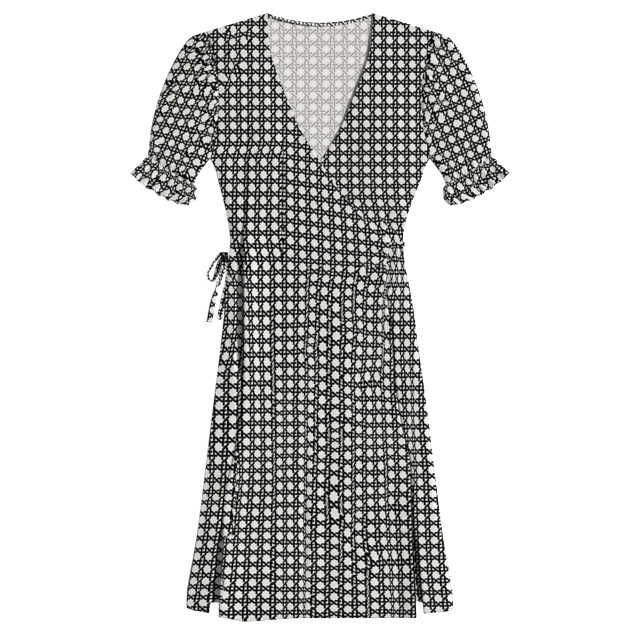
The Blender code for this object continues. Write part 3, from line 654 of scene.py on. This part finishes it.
def make_ruffle(name, side, materials):
    start = [(across + OUT_ACROSS * GAP, down + OUT_DOWN * GAP) for across, down in CUFF_LINE]
    outer, inner = (start[0], *RUFFLE_OUTER[1:]), (start[-1], *RUFFLE_INNER[1:])
    tube = Tube(start, RUFFLE_HEM, outer, inner, RUFFLE_ROWS, RUFFLE_EDGE, SLEEVE_RISE - CUFF_DIP)
    s, v = tube.s, tube.v
    cuff = tube.width[0, 0]
    phase = 2 * math.pi * WAVES * s + WAVE_DRIFT * np.sin(2 * math.pi * s * WAVE_DRIFTS + side)
    wave, ripple = 0.5 - 0.5 * np.cos(phase), 0.5 - 0.5 * np.cos(2 * phase + RIPPLE_LAG)
    tube.lift(ease(v / WAVE_FULL) * (RUFFLE_RISE * wave + RUFFLE_RIPPLE * ripple))
    tube.lift(shirring(tube, cuff) * (1 - ease(v / SHIRR_RUFFLE)))
    scallop = RUFFLE_SCALLOP * v * np.cos(phase) * np.sin(math.pi * s)
    tube.across, tube.down = tube.across + OUT_ACROSS * scallop, tube.down + OUT_DOWN * scallop
    turned = s * cuff * RUFFLE_FULLNESS + RUFFLE_SWAY * v * np.sin(phase + SWAY_LEAD)
    cells = np.stack([-side * turned, -v * RUFFLE_LENGTH - RUFFLE_DIP * wave], axis=-1) / RUFFLE_PITCH
    bumps = bumps_in(random.Random(RUFFLE_SEED + side), *RUFFLE_PULLS)
    cells = scrambled(cells, tube.across, tube.down, bumps)
    return tube.build(name, side, cells, materials)


# Soft creases, listed: each runs between two places, as a ridge or, with a height below 0, a trough.
Crease = namedtuple("Crease", "down across to_down to_across width height")
RIGHT_CREASES = named(
    Crease,
    (262, -70, 470, -72, 3.5, -0.9), (770, -29, 1125, -31, 5, -2.2), (560, -22, 1120, -16, 9, 0.7),
    (600, 30, 1120, 40, 9, 0.7), (560, 6, 1140, 10, 8, -0.6), (630, 72, 830, 74, 6, -1.0),
    (1005, 146, 1135, 150, 6, -1.0), (880, 96, 1120, 104, 9, 0.6), (436, 128, 470, 84, 5, 0.9),
    (442, 128, 500, 104, 4, -0.6), (430, 122, 432, 60, 6, 0.7), (420, 108, 396, 20, 7, 0.5),
    (468, -80, 476, -84, 5, 0.8), (200, -120, 330, -112, 9, 0.6),
)
LEFT_CREASES = named(
    Crease,
    (312, 129, 400, 131, 4, -0.9), (330, 148, 425, 140, 5, 0.7), (370, 110, 428, 128, 4, 0.7),
    (390, 150, 432, 136, 4, -0.6), (160, 150, 300, 140, 10, 0.5), (440, 140, 520, 146, 4, 0.8),
    (446, 150, 560, 158, 4, -0.6),
)
CREASE_ENDS = 0.25
OVER_BACK, OVER_BOTH = 0.9, 2.4  # the lowest that a front may lie over the back, and over the left front too
PAST_HEM = 0.15
COVER_FROM, COVER_FORMS = -10, 6  # beside the left front's edge, where the right one rises over it
# By the side that a front's free edge is on: from where it comes down to its hem, and over what length.
HEMS_FALL = {SIDE_LEFT: (1112, 30), SIDE_RIGHT: (1118, 20)}
FRONT_SHOWS = 4.0  # how far past the wrap edge the left front's stitching starts
NECK_COLUMNS = 36
BACK_TUCK = ((440, 0), (462, 9), (490, 10.5), (520, 10.5), (560, 5), (583, 2.5), (610, 0))


def raised(height, creases, across, down, station, lowest, side):
    """A front's height with its creases, each round across and tapering towards both ends, and kept off
    what it lies on."""
    for crease in creases:
        run_x, run_y = crease.to_across - crease.across, crease.to_down - crease.down
        length = math.hypot(run_x, run_y)
        x, y = across - crease.across, down - crease.down
        share = (x * run_x + y * run_y) / length**2
        aside = (y * run_x - x * run_y) / length
        ends = ease(np.minimum(share, 1 - share) / CREASE_ENDS)
        height = height + crease.height * ends * np.exp(-((aside / crease.width) ** 2))
    start, length = HEMS_FALL[side]
    lowest = mix(lowest, PAST_HEM, ease((down - start) / length))
    return np.maximum(height, lowest + over_tie(station)[:, None])


def scrambled(cells, across, down, bumps):
    """The print pulled about by soft bumps, as on cloth that is not smoothed out."""
    cells = cells.copy()
    for x, y, columns, rows, reach in bumps:
        share = np.exp(-((across - x) ** 2 + (down - y) ** 2) / reach**2)
        cells += share[..., None] * (columns, rows)
    return cells


def bumps_in(rng, count, low, high, most, reach):
    found = []
    for _ in range(count):
        place = [rng.uniform(*span) for span in zip(low, high)]
        pull = [rng.uniform(-most, most) for _ in range(2)]
        found.append((*place, *pull, reach * rng.uniform(*BUMPS_VARY)))
    return found


WAIST_BUMPS, LOOSE_BUMPS, ARMHOLE_BUMPS = (
    bumps_in(random.Random(seed), *pulls) for seed, *pulls in FRONT_PULLS
)
RIGHT_BUMPS = [*SKIRT_BUMPS, *WAIST_BUMPS, *LOOSE_BUMPS, *ARMHOLE_BUMPS]


def column_at(chart, first, across, down):
    """The column of the print at a place, from a chart of where the columns are."""
    table = np.array(chart).T
    places = [smooth(table[0], row, down) for row in table[1:]]
    column = first + np.minimum((across - places[0]) / (places[1] - places[0]), 0)
    for near, far in zip(places, places[1:]):
        column += np.clip((across - near) / (far - near), 0, 1)
    return column + np.maximum((across - places[-1]) / SKIRT_PITCH, 0)


def make_right_front(materials, station):
    lines = right_front_lines(station)
    across, down, height = front_grid(lines, RIGHT_FRONT_GUIDES, RIGHT_FRONT_RISES, station)
    dart = int(np.argmin(np.abs(across[np.argmin(np.abs(station - DART_MIDDLE))] - DART_ACROSS)))
    covers = ease((across - under_edge(down) - COVER_FROM) / COVER_FORMS) * (down > V_POINT)
    lowest = mix(OVER_BACK, OVER_BOTH, covers)
    height = raised(height, RIGHT_CREASES, across, down, station, lowest, SIDE_LEFT)
    extra = hidden_length(across, height, dart)
    sunk = down - follow(ROW_TILT, down) * np.maximum(across - DART_ACROSS, 0)
    cells = print_cells(RIGHT_PRINT, across, sunk, extra)
    edges, rows = (across[1:] + across[:-1]) / 2, (down[1:] + down[:-1]) / 2
    parts = (edges > DART_ACROSS).astype(int)
    maps = [cells + follow(DART, down)[..., None] * (DART_SHIFT, 0), cells]
    form = ease((down - SKIRT_FROM) / SKIRT_FORMS)
    strip = mix(cells[..., 0], column_at(STRIP_COLUMNS, STRIP_FIRST, across, down), form)
    maps.append(np.stack([strip, -smooth(STRIP_DOWN, STRIP_ROWS, down)], axis=-1))
    column = mix(cells[..., 0], column_at(SKIRT_COLUMNS, SKIRT_FIRST, across, down), form)
    skirt = column_at(SKIRT_COLUMNS, SKIRT_FIRST, edges, rows)
    below = rows > SKIRT_FROM
    parts[below] = np.where(edges > follow(STRIP_END, rows), SKIRT_MAP, STRIP_MAP)[below]
    for k, chart in enumerate(SKIRT_CHART):
        row = cells[..., 1] if chart.rows is None else -smooth(chart.down, chart.rows, down)
        maps.append(np.stack([column, row], axis=-1))
        parts[below & (skirt > chart.columns + 0.5)] = SKIRT_MAP + min(k + 1, len(SKIRT_CHART) - 1)
    maps = [scrambled(chart, across, down, RIGHT_BUMPS) for chart in maps]
    front = make_cloth("front_right", placed(across, down, height), maps, materials, parts=parts)
    return front, seams(across, down, height, SIDE_LEFT)


def make_left_front(materials, station):
    lines = left_front_lines(station)
    across, down, height = front_grid(lines, LEFT_FRONT_GUIDES, LEFT_FRONT_RISES, station)
    height = raised(height, LEFT_CREASES, across, down, station, OVER_BACK, SIDE_RIGHT)
    extra = hidden_length(across, height, across.shape[1] - LEFT_PRINT_FROM)
    cells = print_cells(LEFT_PRINT, across, down, extra)
    form = ease((down - LEFT_FROM) / LEFT_FORMS)
    cells[..., 0] = mix(cells[..., 0], column_at(LEFT_COLUMNS, LEFT_FIRST, across, down), form)
    cells = scrambled(cells, across, down, WAIST_BUMPS)
    front = make_cloth("front_left", placed(across, down, height), cells, materials)
    lines = seams(across, down, height, SIDE_RIGHT)
    return front, [np.array(line)[:, line[0] > wrap_edge(line[1]) + FRONT_SHOWS] for line in lines]


# The stitching along the edges and hems: how far in it runs, and the size of one stitch.
EDGE_SEAM, EDGE_LINES, HEM_SEAM_ROW = 6.0, 12, 3
STITCH_PITCH, STITCH_LENGTH, STITCH_THICK = 3.2, 2.3, 0.45
STITCH_FACES = ((0, 2, 4), (2, 1, 4), (1, 3, 4), (3, 0, 4), (2, 0, 5), (1, 2, 5), (3, 1, 5), (0, 3, 5))


def seams(across, down, height, side):
    """The lines of stitching of a front: along its free edge, on this side of it, and along its hem."""
    near = slice(-EDGE_LINES, None) if side > 0 else slice(EDGE_LINES)
    edge = across[:, -1 if side > 0 else 0] - side * EDGE_SEAM
    beside = [
        [np.interp(*row) for row in zip(edge, across[:, near], grid[:, near])] for grid in (down, height)
    ]
    return [(edge, *np.array(beside)), [grid[HEM_SEAM_ROW] for grid in (across, down, height)]]


def make_stitches(name, lines, material):
    """One mesh of stitches, each a slim bead that lies on the cloth."""
    points, faces = [], []
    for across, down, height in lines:
        path = placed(across, down, height + CLOTH)
        run = run_along(path)
        starts = np.arange(STITCH_PITCH, run[-1] - STITCH_PITCH, STITCH_PITCH)
        for ends in zip(starts, starts + STITCH_LENGTH):
            a, b = np.array([[np.interp(at, run, line) for line in path.T] for at in ends])
            ahead = (b - a) / np.linalg.norm(b - a)
            aside = np.array([-ahead[1], ahead[0], 0])
            aside *= STITCH_THICK / 2 / np.linalg.norm(aside)
            up, middle, first = np.cross(ahead, aside), (a + b) / 2, len(points)
            points += [a, b, middle + aside, middle - aside, middle + up, middle - up]
            faces += [[first + k for k in face] for face in STITCH_FACES]
    mesh = bpy.data.meshes.new(name)
    mesh.from_pydata((np.array(points) * MM).tolist(), [], faces)
    mesh.materials.append(material)
    return added(name, mesh)


def new_material(name, **looks):
    """A material, with values for its shader by the names of the sockets."""
    material = bpy.data.materials.new(name)
    material.use_nodes = True
    shader = material.node_tree.nodes["Principled BSDF"]
    for socket, value in looks.items():
        shader.inputs[socket.replace("_", " ")].default_value = value
    return material, shader


def make_back(materials, station):
    """The back lies with its inside up."""
    station = station[:, None]
    left, right = side_at(station, SIDE_LEFT), side_at(station, SIDE_RIGHT) + follow(BACK_TUCK, station)
    share = np.linspace(0, 1, (BACK_COLUMNS - NECK_COLUMNS) // 2 + 1)[None, :-1]
    middle = np.linspace(-NECK_HALF, NECK_HALF, NECK_COLUMNS)[None, :] + 0 * left
    sides = mix(right, -NECK_HALF, share), mix(left, NECK_HALF, share)[:, ::-1]
    across = np.concatenate([sides[0], middle, sides[1]], axis=1)
    down = section_down(station, across, NECK_SCOOP)
    down -= (HEM_STATION - BACK_HEM) * ease((station - BACK_HEM_FROM) / (HEM_STATION - BACK_HEM_FROM))
    cells = print_cells(BACK_PRINT, across, down, 0) * (-1, 1)
    points = placed(across, down, 0 * across + over_tie(station))
    return make_cloth("back_panel", points, cells, materials)


# The binding inside the back neck, and the ties.
BINDING_WIDTH = 7.6
BINDING_REACH = 98.5
BINDING_HEIGHT = 0.7
BINDING_CROWN, BINDING_ROUND = 0.5, 2.0
BINDING_PITCH = 22.8
# Where on the repeat its middle lies, what of it the top edge cuts there, and how much more for each cell on.
BINDING_SHIFT, BINDING_PRINT, BINDING_LEAN = 0.063, 0.7, 0.028
BINDING_COLUMNS, BINDING_ROWS = 90, 6
# Its right end is folded in, and from there on it is painted solid ink from the middle of one bar of the
# repeat, as painted shade for the shadow in that fold.
BINDING_END, BINDING_END_FORMS, BINDING_END_GROWS, BINDING_SHADE_CELL = 94.0, 3.0, 0.3, -4
TIE_COLUMNS = 6
TIE_CROWN = 0.35
KNOT_SIZE = (16.0, 22.0, 9.0)
KNOT_AT = (1.0, -3.0)
KNOT_TURNS = 9.0  # folds round it
# The knot shows only a small patch of the print that is mostly ink bars, as painted shade for its deep folds.
KNOT_SHADE_SHOWN, KNOT_SHADE_FROM = (0.22, 0.4), (0.235, 0.1)  # the part of the print on each, and from where
KNOT_CLEAR, KNOT_REACH = 0.9, 8.5
KNOT_LOW = -1.5
KNOT_SQUARE, KNOT_FOLDS, KNOT_FULL = 0.62, 0.07, 1.07  # how square, how deep its folds, its largest girth
KNOT_SKEW, KNOT_SEGMENTS, KNOT_RINGS = 1.5, 40, 24
TIE_CLEAR = 0.5
TURN_CLEAR = 0.9
TURN_STEPS, LOOP_TURN_STEPS = 14, 9
OVER_STEPS, BEHIND_STEPS, WITHIN_STEPS = 14, 90, 30  # over the left front, behind the back, under the right
PATH_STEP = 1.6

# A tie's route from the knot: across, down, its width, and how far it is turned up on its edge, in degrees.
LONG_LOOP = (
    (-3.5, -6.5, 7, 30), (-11.0, 0.5, 8, 56), (-17.6, 10.0, 9, 60), (-23.9, 19.5, 9, 60),
    (-28.2, 27.5, 9, 60), (-31.0, 36.9, 9, 62), (-29.6, 43.9, 9, 64), (-25.6, 48.0, 9, 64),
    (-20.6, 47.0, 9.5, 56), (-16.6, 40.5, 10, 42), (-13.8, 32.0, 11, 30), (-10.8, 22.5, 11, 24),
    (-7.4, 13.0, 11, 20), (-3.0, 5.0, 9, 20),
)
LONG_END = (
    (1.0, 9, 8, 20), (-0.8, 20, 9, 30), (-4.6, 36, 9.5, 40), (-9.6, 51, 9.5, 48), (-14.6, 66, 10, 46),
    (-18.2, 78, 11, 24), (-22.6, 95, 11, 10), (-25.6, 112.3, 11.6, 4), (-27.8, 127, 12, 0),
)
SHORT_END = (
    (7.4, 7.7, 8, 0), (8, 19, 8.5, 0), (7, 39, 9, 0), (4.4, 56, 9, 0), (1, 70, 9.5, 0), (-3.4, 92, 10, 0),
    (-7.5, 110, 9.5, 0), (-9.5, 122, 8, 0),
)
SHORT_LOOP_SHARE = 0.41
# Where the middle of a tie lies across the print's repeat, and how far along it a disc is, in cells.
Laid = namedtuple("Laid", "column disc")


def make_binding(materials):
    share = np.linspace(-1, 1, BINDING_COLUMNS + 1)[None, :]
    inset = np.linspace(0, 1, BINDING_ROWS + 1)[:, None]
    across = share * BINDING_REACH + 0 * inset
    end = ease((-BINDING_END - across) / BINDING_END_FORMS)
    down = section_down(0, across, NECK_SCOOP) + inset * BINDING_WIDTH * (1 + BINDING_END_GROWS * end)
    crown = BINDING_CROWN * round_off(np.minimum(inset, 1 - inset) * BINDING_WIDTH, BINDING_ROUND)
    column = across / BINDING_PITCH + BINDING_SHIFT
    row = BINDING_PRINT + BINDING_LEAN * column - inset * BINDING_WIDTH / BINDING_PITCH
    # From the folded end on, the cells stay at the middle of an ink bar: painted shade for the shadow in the
    # fold.
    painted_shade = BARS[0].x + BINDING_SHADE_CELL, BARS[0].y
    cells = np.stack([mix(column, painted_shade[0], end), mix(row, painted_shade[1], end)], axis=-1)
    points = placed(across, down, BINDING_HEIGHT + crown + 0 * share)
    return make_cloth("neck_band", points, cells, materials)


def make_strap(name, path, sides, widths, materials, laid=Laid(-0.13, 0)):
    """A flat tie along a path in millimetres. sides gives the direction of its width at each point."""
    path, sides = np.array(path), np.array(sides)
    share = np.linspace(-0.5, 0.5, TIE_COLUMNS + 1)
    up = np.cross(np.gradient(path, axis=0), sides)
    up /= np.linalg.norm(up, axis=1, keepdims=True)
    crown = TIE_CROWN * (1 - (2 * share) ** 2) - TIE_CLOTH / 2
    wide = widths[:, None] * share
    points = path[:, None] + sides[:, None] * wide[..., None] + up[:, None] * crown[None, :, None]
    along_it = laid.disc - run_along(path)[:, None] / PRINT_PITCH
    cells = np.stack([laid.column - wide / PRINT_PITCH, along_it + 0 * share], axis=-1)
    return make_cloth(name, points, cells, materials, TIE_CLOTH)


def tie_path(points):
    """The path of a tie whose lower edge rests on the floor, the directions of its width, and its widths."""
    marks = run_along([point[:2] for point in points])
    at = np.linspace(0, marks[-1], round(marks[-1] / PATH_STEP) + 1)
    across, down, width, turn = (smooth(marks, values, at) for values in zip(*points))
    turn = np.radians(turn)
    path = placed(across, down, TIE_CLOTH / 2 + width / 2 * np.sin(turn))
    ahead = np.gradient(path[:, :2], axis=0)
    ahead *= (np.cos(turn) / np.linalg.norm(ahead, axis=1))[:, None]
    return path, np.stack([ahead[:, 1], -ahead[:, 0], np.sin(turn)], axis=1), width


def tie_line(across, height):
    return placed(across, section_down(TIE_STATION, across), height)


def make_waist_ties(materials):
    """The right front's tie goes round the wearer's left side and behind the waist. The left front's comes
    out at the right side seam."""
    station = np.array([TIE_STATION])
    left, right = side_at(station, SIDE_LEFT)[0], side_at(station, SIDE_RIGHT)[0]
    low, inside, high = (layers * LAYER + TIE_CLOTH / 2 for layers in (0, 2, 3))
    turn = (high - low) / 2
    over = np.linspace(edge_at(station, wrap_edge)[0] + TIE_CLEAR, left, OVER_STEPS)
    path = [tie_line(x, high) for x in over[:-1]]
    for angle in np.linspace(math.pi / 2, -math.pi / 2, TURN_STEPS + 1):
        out = left + TURN_CLEAR * (1 + turn * math.cos(angle))
        path.append(tie_line(out, low + turn * (1 + math.sin(angle))))
    path += [tie_line(x, low) for x in np.linspace(left, right, BEHIND_STEPS)[1:]]
    ahead = tie_line(0.0, 0) - tie_line(1.0, 0)
    side = np.array([-ahead[1], ahead[0], 0]) / np.linalg.norm(ahead)
    within = np.linspace(edge_at(station, under_edge)[0] - TIE_CLEAR, right, WITHIN_STEPS)
    within = [tie_line(x, inside) for x in within]
    ties = [
        make_strap(name, way, [side] * len(way), np.full(len(way), TIE_WIDTH), materials, laid)
        for name, way, laid in (("waist_tie", path, Laid(0.7, 0)), ("inner_tie", within, Laid(-0.13, 0)))
    ]
    return *ties, (right - KNOT_CLEAR - KNOT_REACH, section_down(TIE_STATION, right) + KNOT_LOW)


def make_bow(knot, materials):
    """The bow's pieces, by the CAD nodes that they replace. The short loop lies folded along the long end."""

    def from_knot(route):
        return tie_path([(knot[0] + across, knot[1] + down, *rest) for across, down, *rest in route])

    long_end = from_knot(LONG_END)
    out, sides, widths = (values[: round(len(long_end[0]) * SHORT_LOOP_SHARE)] for values in long_end)
    lift = np.array([0, 0, LAYER])
    tip = (out[-1] - out[-2]) / np.linalg.norm(out[-1] - out[-2])
    turn = [
        out[-1] + lift + tip * (LAYER / 2 * math.sin(angle)) + lift / 2 * (1 - math.cos(angle))
        for angle in np.linspace(0, math.pi, LOOP_TURN_STEPS)[1:-1]
    ]
    folded = [*(out + lift), *turn, *(out + 2 * lift)[::-1]], *(
        np.array([*values, *[values[-1]] * len(turn), *values[::-1]]) for values in (sides, widths)
    )
    straps = {
        "tie_end_long": ("end_outer", long_end, Laid(-0.13, 0.65)),
        "bow_loop_long": ("loop_outer", from_knot(LONG_LOOP), Laid(-0.33, 0.2)),
        "tie_end_short": ("end_inner", from_knot(SHORT_END), Laid(0.3, 0.3)),
        "bow_loop_short": ("loop_inner", folded, Laid(0.33, 0.1)),
    }
    made = {node: make_strap(name, *way, materials, laid) for node, (name, way, laid) in straps.items()}
    return {**made, "bow_knot": make_knot(knot, materials[0])}


def make_knot(at, material):
    """The knot: a flattened ball drawn in where the tie wraps round it."""
    bpy.ops.mesh.primitive_uv_sphere_add(segments=KNOT_SEGMENTS, ring_count=KNOT_RINGS, radius=0.5)
    knot = bpy.context.object
    knot.name = knot.data.name = "knot"
    points = np.zeros(len(knot.data.vertices) * 3)
    knot.data.vertices.foreach_get("co", points)
    points = points.reshape(-1, 3) * 2
    x, y = points[:, 0], points[:, 1]
    folds = 1 + KNOT_FOLDS * np.cos(KNOT_TURNS * x + KNOT_SKEW * y) * np.clip(1 - np.abs(y), 0, 1) ** 0.5
    ball = np.sign(points) * np.abs(points) ** KNOT_SQUARE * folds[:, None] / KNOT_FULL
    centre = placed(*at, KNOT_SIZE[2] / 2) + (*KNOT_AT, 0)
    ball = (centre + ball * np.array(KNOT_SIZE) / 2) * MM
    knot.data.vertices.foreach_set("co", ball.reshape(-1))
    layer = knot.data.uv_layers[0]
    layer.name = "Print"
    wraps = np.zeros(len(layer.data) * 2, np.float32)
    layer.data.foreach_get("uv", wraps)
    # The ball's cells are squeezed into that mostly inked patch: painted shade.
    wraps = wraps.reshape(-1, 2) * (KNOT_TURNS, 1.0) % (1, 2) * KNOT_SHADE_SHOWN + KNOT_SHADE_FROM
    layer.data.foreach_set("uv", wraps.astype(np.float32).reshape(-1))
    knot.data.update()
    knot.data.shade_smooth()
    knot.data.materials.append(material)
    return knot


# The print: bars of ink in each cell, by middle, direction and half length, round an unprinted disc.
Bar = namedtuple("Bar", "x y run rise half")
BARS = named(
    Bar,
    (0.33, 0.29, 0, 1, 0.195), (-0.345, -0.295, 0, 1, 0.19), (0.28, -0.35, 1, 0, 0.165),
    (-0.31, 0.35, 1, 0, 0.18), (0.52, 0, 0.71, 0.704, 0.24), (-0.02, 0.505, 0.726, -0.688, 0.25),
)
BAR_WIDTH = 0.2
BAR_SOFT = 0.015
DISC_RADIUS = 0.235
DISC_SOFT = 0.03
WOBBLE = 0.03
WOBBLE_SCALE = 5.0


class Nodes:
    """Short ways to add and link shader nodes."""

    def __init__(self, tree):
        self.tree = tree

    def feed(self, socket, value):
        if isinstance(value, bpy.types.NodeSocket):
            self.tree.links.new(value, socket)
        else:
            socket.default_value = value

    def add(self, kind, given=(), **settings):
        """A node with these settings, its sockets fed in order, or by name or number."""
        node = self.tree.nodes.new(kind)
        for name, value in settings.items():
            setattr(node, name, value)
        for socket, value in given.items() if isinstance(given, dict) else enumerate(given):
            self.feed(node.inputs[socket], value)
        return node

    def math(self, operation, *values):
        return self.add("ShaderNodeMath", values, operation=operation).outputs[0]

    def vector(self, operation, *values, scale=None):
        node = self.add("ShaderNodeVectorMath", values, operation=operation)
        if scale is not None:
            self.feed(node.inputs["Scale"], scale)
        return node.outputs["Value" if operation in ("LENGTH", "DOT_PRODUCT") else "Vector"]

    def fade(self, value, low, high):
        """1 below the low value, 0 above the high one, and a smooth step between."""
        given = value, low, high, 1.0, 0.0
        return self.add("ShaderNodeMapRange", given, interpolation_type="SMOOTHSTEP").outputs[0]

    def mix_colours(self, share, a, b):
        return self.add("ShaderNodeMix", {0: share, 6: a, 7: b}, data_type="RGBA").outputs[2]


def cane_print():
    """The node group of the print: from a place in cells, how much ink and how much disc there is."""
    group = bpy.data.node_groups.new("cane print", "ShaderNodeTree")
    for name, way, kind in (("Cells", "INPUT", "Vector"), ("Width", "INPUT", "Float"),
                            ("Ink", "OUTPUT", "Float"), ("Disc", "OUTPUT", "Float")):
        group.interface.new_socket(name, in_out=way, socket_type="NodeSocket" + kind)
    n = Nodes(group)
    given, result = n.add("NodeGroupInput"), n.add("NodeGroupOutput")
    cells = given.outputs["Cells"]
    noise = n.add("ShaderNodeTexNoise", {"Vector": cells, "Scale": WOBBLE_SCALE})
    off = n.vector("SCALE", n.vector("SUBTRACT", noise.outputs["Color"], (0.5, 0.5, 0.5)), scale=WOBBLE)
    place = n.vector("MULTIPLY", n.vector("ADD", cells, off), (1, 1, 0))

    def from_middle(x, y):
        return n.vector("WRAP", n.vector("SUBTRACT", place, (x, y, 0)), (0.5, 0.5, 0.5), (-0.5, -0.5, -0.5))

    nearest = None
    for bar in BARS:
        way, away = (bar.run, bar.rise, 0), from_middle(bar.x, bar.y)
        run = n.math("MAXIMUM", n.math("MINIMUM", n.vector("DOT_PRODUCT", away, way), bar.half), -bar.half)
        distance = n.vector("LENGTH", n.vector("SUBTRACT", away, n.vector("SCALE", way, scale=run)))
        nearest = distance if nearest is None else n.math("MINIMUM", nearest, distance)
    beyond = n.math("SUBTRACT", nearest, n.math("MULTIPLY", given.outputs["Width"], 0.5))
    n.feed(result.inputs["Ink"], n.fade(beyond, -BAR_SOFT / 2, BAR_SOFT / 2))
    middle = n.vector("LENGTH", from_middle(0, 0))
    n.feed(result.inputs["Disc"], n.fade(middle, DISC_RADIUS - DISC_SOFT, DISC_RADIUS + DISC_SOFT))
    return group


Dye = namedtuple("Dye", "ground disc ink width")
FACE = Dye((0.75, 0.74, 0.72), (0.573, 0.56, 0.537), (0.0015, 0.0015, 0.0015), BAR_WIDTH)
BINDING = Dye(FACE.ground, FACE.disc, FACE.ink, 0.155)
REVERSE = Dye((0.60, 0.588, 0.555), (0.66, 0.648, 0.615), (0.27, 0.26, 0.245), 0.115)
THREADS = 13.8  # the wave scale that gives about 44 threads to a cell
CREPE_SCALE, CREPE_DETAIL = 2.2, 4.0
WEAVE_DEPTH, CREPE_DEPTH = 0.00008, 0.0004


def cloth_material(name, dye, group):
    material, shader = new_material(name, Roughness=0.85, Specular_IOR_Level=0.01)
    n = Nodes(material.node_tree)
    cells = n.add("ShaderNodeUVMap", uv_map="Print").outputs["UV"]
    pattern = n.add("ShaderNodeGroup", node_tree=group)
    n.feed(pattern.inputs["Cells"], cells)
    n.feed(pattern.inputs["Width"], dye.width)
    colour = n.mix_colours(pattern.outputs["Disc"], (*dye.ground, 1), (*dye.disc, 1))
    n.feed(shader.inputs["Base Color"], n.mix_colours(pattern.outputs["Ink"], colour, (*dye.ink, 1)))
    threads = [
        n.add("ShaderNodeTexWave", {"Vector": cells, "Scale": THREADS}, bands_direction=way).outputs["Fac"]
        for way in ("X", "Y")
    ]
    weave = n.add("ShaderNodeBump", {"Height": n.math("ADD", *threads), "Distance": WEAVE_DEPTH})
    crepe = n.add("ShaderNodeTexNoise", {"Vector": cells, "Scale": CREPE_SCALE, "Detail": CREPE_DETAIL})
    relief = {"Height": crepe.outputs["Fac"], "Distance": CREPE_DEPTH, "Normal": weave.outputs["Normal"]}
    n.feed(shader.inputs["Normal"], n.add("ShaderNodeBump", relief).outputs["Normal"])
    return material


FLOOR_SIZE, FLOOR_DROP = 8.0, 0.0002
FLOOR_LOOKS = {"Base_Color": (0.88, 0.88, 0.88, 1), "Roughness": 0.9, "Specular_IOR_Level": 0.0}
FLOOR_GLOW = {"Emission_Color": (1, 1, 1, 1), "Emission_Strength": 0.75}
SKY_STRENGTH, SUN_STRENGTH, SUN_SPREAD, SUN_FROM = 0.33, 5.4, 13, (1.0, 0.3, 0.75)
CAMERA_AT, CAMERA_LENS, CAMERA_SENSOR = (0, -0.0053, 3.378), 100.0, 36.0


def make_stage():
    bpy.ops.mesh.primitive_plane_add(size=FLOOR_SIZE, location=(0, 0, -FLOOR_DROP))
    floor = bpy.context.object
    floor.name = "floor"
    floor.data.materials.append(new_material("floor", **FLOOR_LOOKS, **FLOOR_GLOW)[0])

    scene = bpy.context.scene
    scene.world = scene.world or bpy.data.worlds.new("World")
    scene.world.use_nodes = True
    sky = scene.world.node_tree.nodes["Background"]
    sky.inputs["Color"].default_value = (1, 1, 1, 1)
    sky.inputs["Strength"].default_value = SKY_STRENGTH
    sun = bpy.data.lights.new("key", "SUN")
    sun.energy, sun.angle = SUN_STRENGTH, math.radians(SUN_SPREAD)
    added("key", sun).rotation_euler = Vector(SUN_FROM).to_track_quat("Z", "Y").to_euler()

    lens = bpy.data.cameras.new("camera")
    lens.lens, lens.sensor_width = CAMERA_LENS, CAMERA_SENSOR
    scene.camera = added("camera", lens)
    scene.camera.location = CAMERA_AT
    scene.view_settings.view_transform = "Standard"


def declare(obj, node):
    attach(obj, "root")
    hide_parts(node)


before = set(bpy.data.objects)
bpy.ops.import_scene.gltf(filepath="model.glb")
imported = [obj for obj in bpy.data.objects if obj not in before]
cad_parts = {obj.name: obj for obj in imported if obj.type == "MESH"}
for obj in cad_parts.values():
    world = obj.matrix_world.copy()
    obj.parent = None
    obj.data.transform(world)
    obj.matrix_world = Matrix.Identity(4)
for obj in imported:
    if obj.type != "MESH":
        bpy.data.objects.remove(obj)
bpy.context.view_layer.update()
bpy.ops.object.select_all(action="DESELECT")

make_stage()
group = cane_print()
face = cloth_material("printed cloth", FACE, group)
reverse = cloth_material("reverse of the cloth", REVERSE, group)

stations = np.linspace(HEM_STATION, 0, round(HEM_STATION / ROW_STEP) + 1)
back = make_back([reverse, face], stations)
declare(back, "back")
left_front, left_seams = make_left_front([face, reverse], stations)
declare(left_front, "front_left_under")
right_front, right_seams = make_right_front([face, reverse], stations)
declare(right_front, "front_right_over")
for side_name, side in (("left", SIDE_LEFT), ("right", SIDE_RIGHT)):
    sleeve = make_sleeve(f"puff_sleeve_{side_name}", side, [face, reverse])
    declare(sleeve, f"sleeve_{side_name}")
    ruffle = make_ruffle(f"cuff_ruffle_{side_name}", side, [face, reverse])
    declare(ruffle, f"ruffle_{side_name}")
thread = new_material("sewing thread", Base_Color=(0.02, 0.02, 0.02, 1), Roughness=0.6)[0]
stitches = make_stitches("edge_stitching", [*left_seams, *right_seams], thread)
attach(stitches, "root")
binding = make_binding([cloth_material("neck binding cloth", BINDING, group), reverse])
declare(binding, "neck_binding")
waist_tie, inner_tie, knot_at = make_waist_ties([face, face])
declare(waist_tie, "tie_over")
declare(inner_tie, "tie_under")
bow = make_bow(knot_at, [face, face])
for node, flat, held in (
    ("tie_end_long", (0.131, 0.0105), "hung"),
    ("tie_end_short", (0.121, 0.010), "hung"),
    ("bow_loop_long", (0.123, 0.010), "folded"),
    ("bow_loop_short", (0.105, 0.010), "folded"),
    ("bow_knot", (0.043, 0.010), "folded"),
):
    declare(bow[node], node)
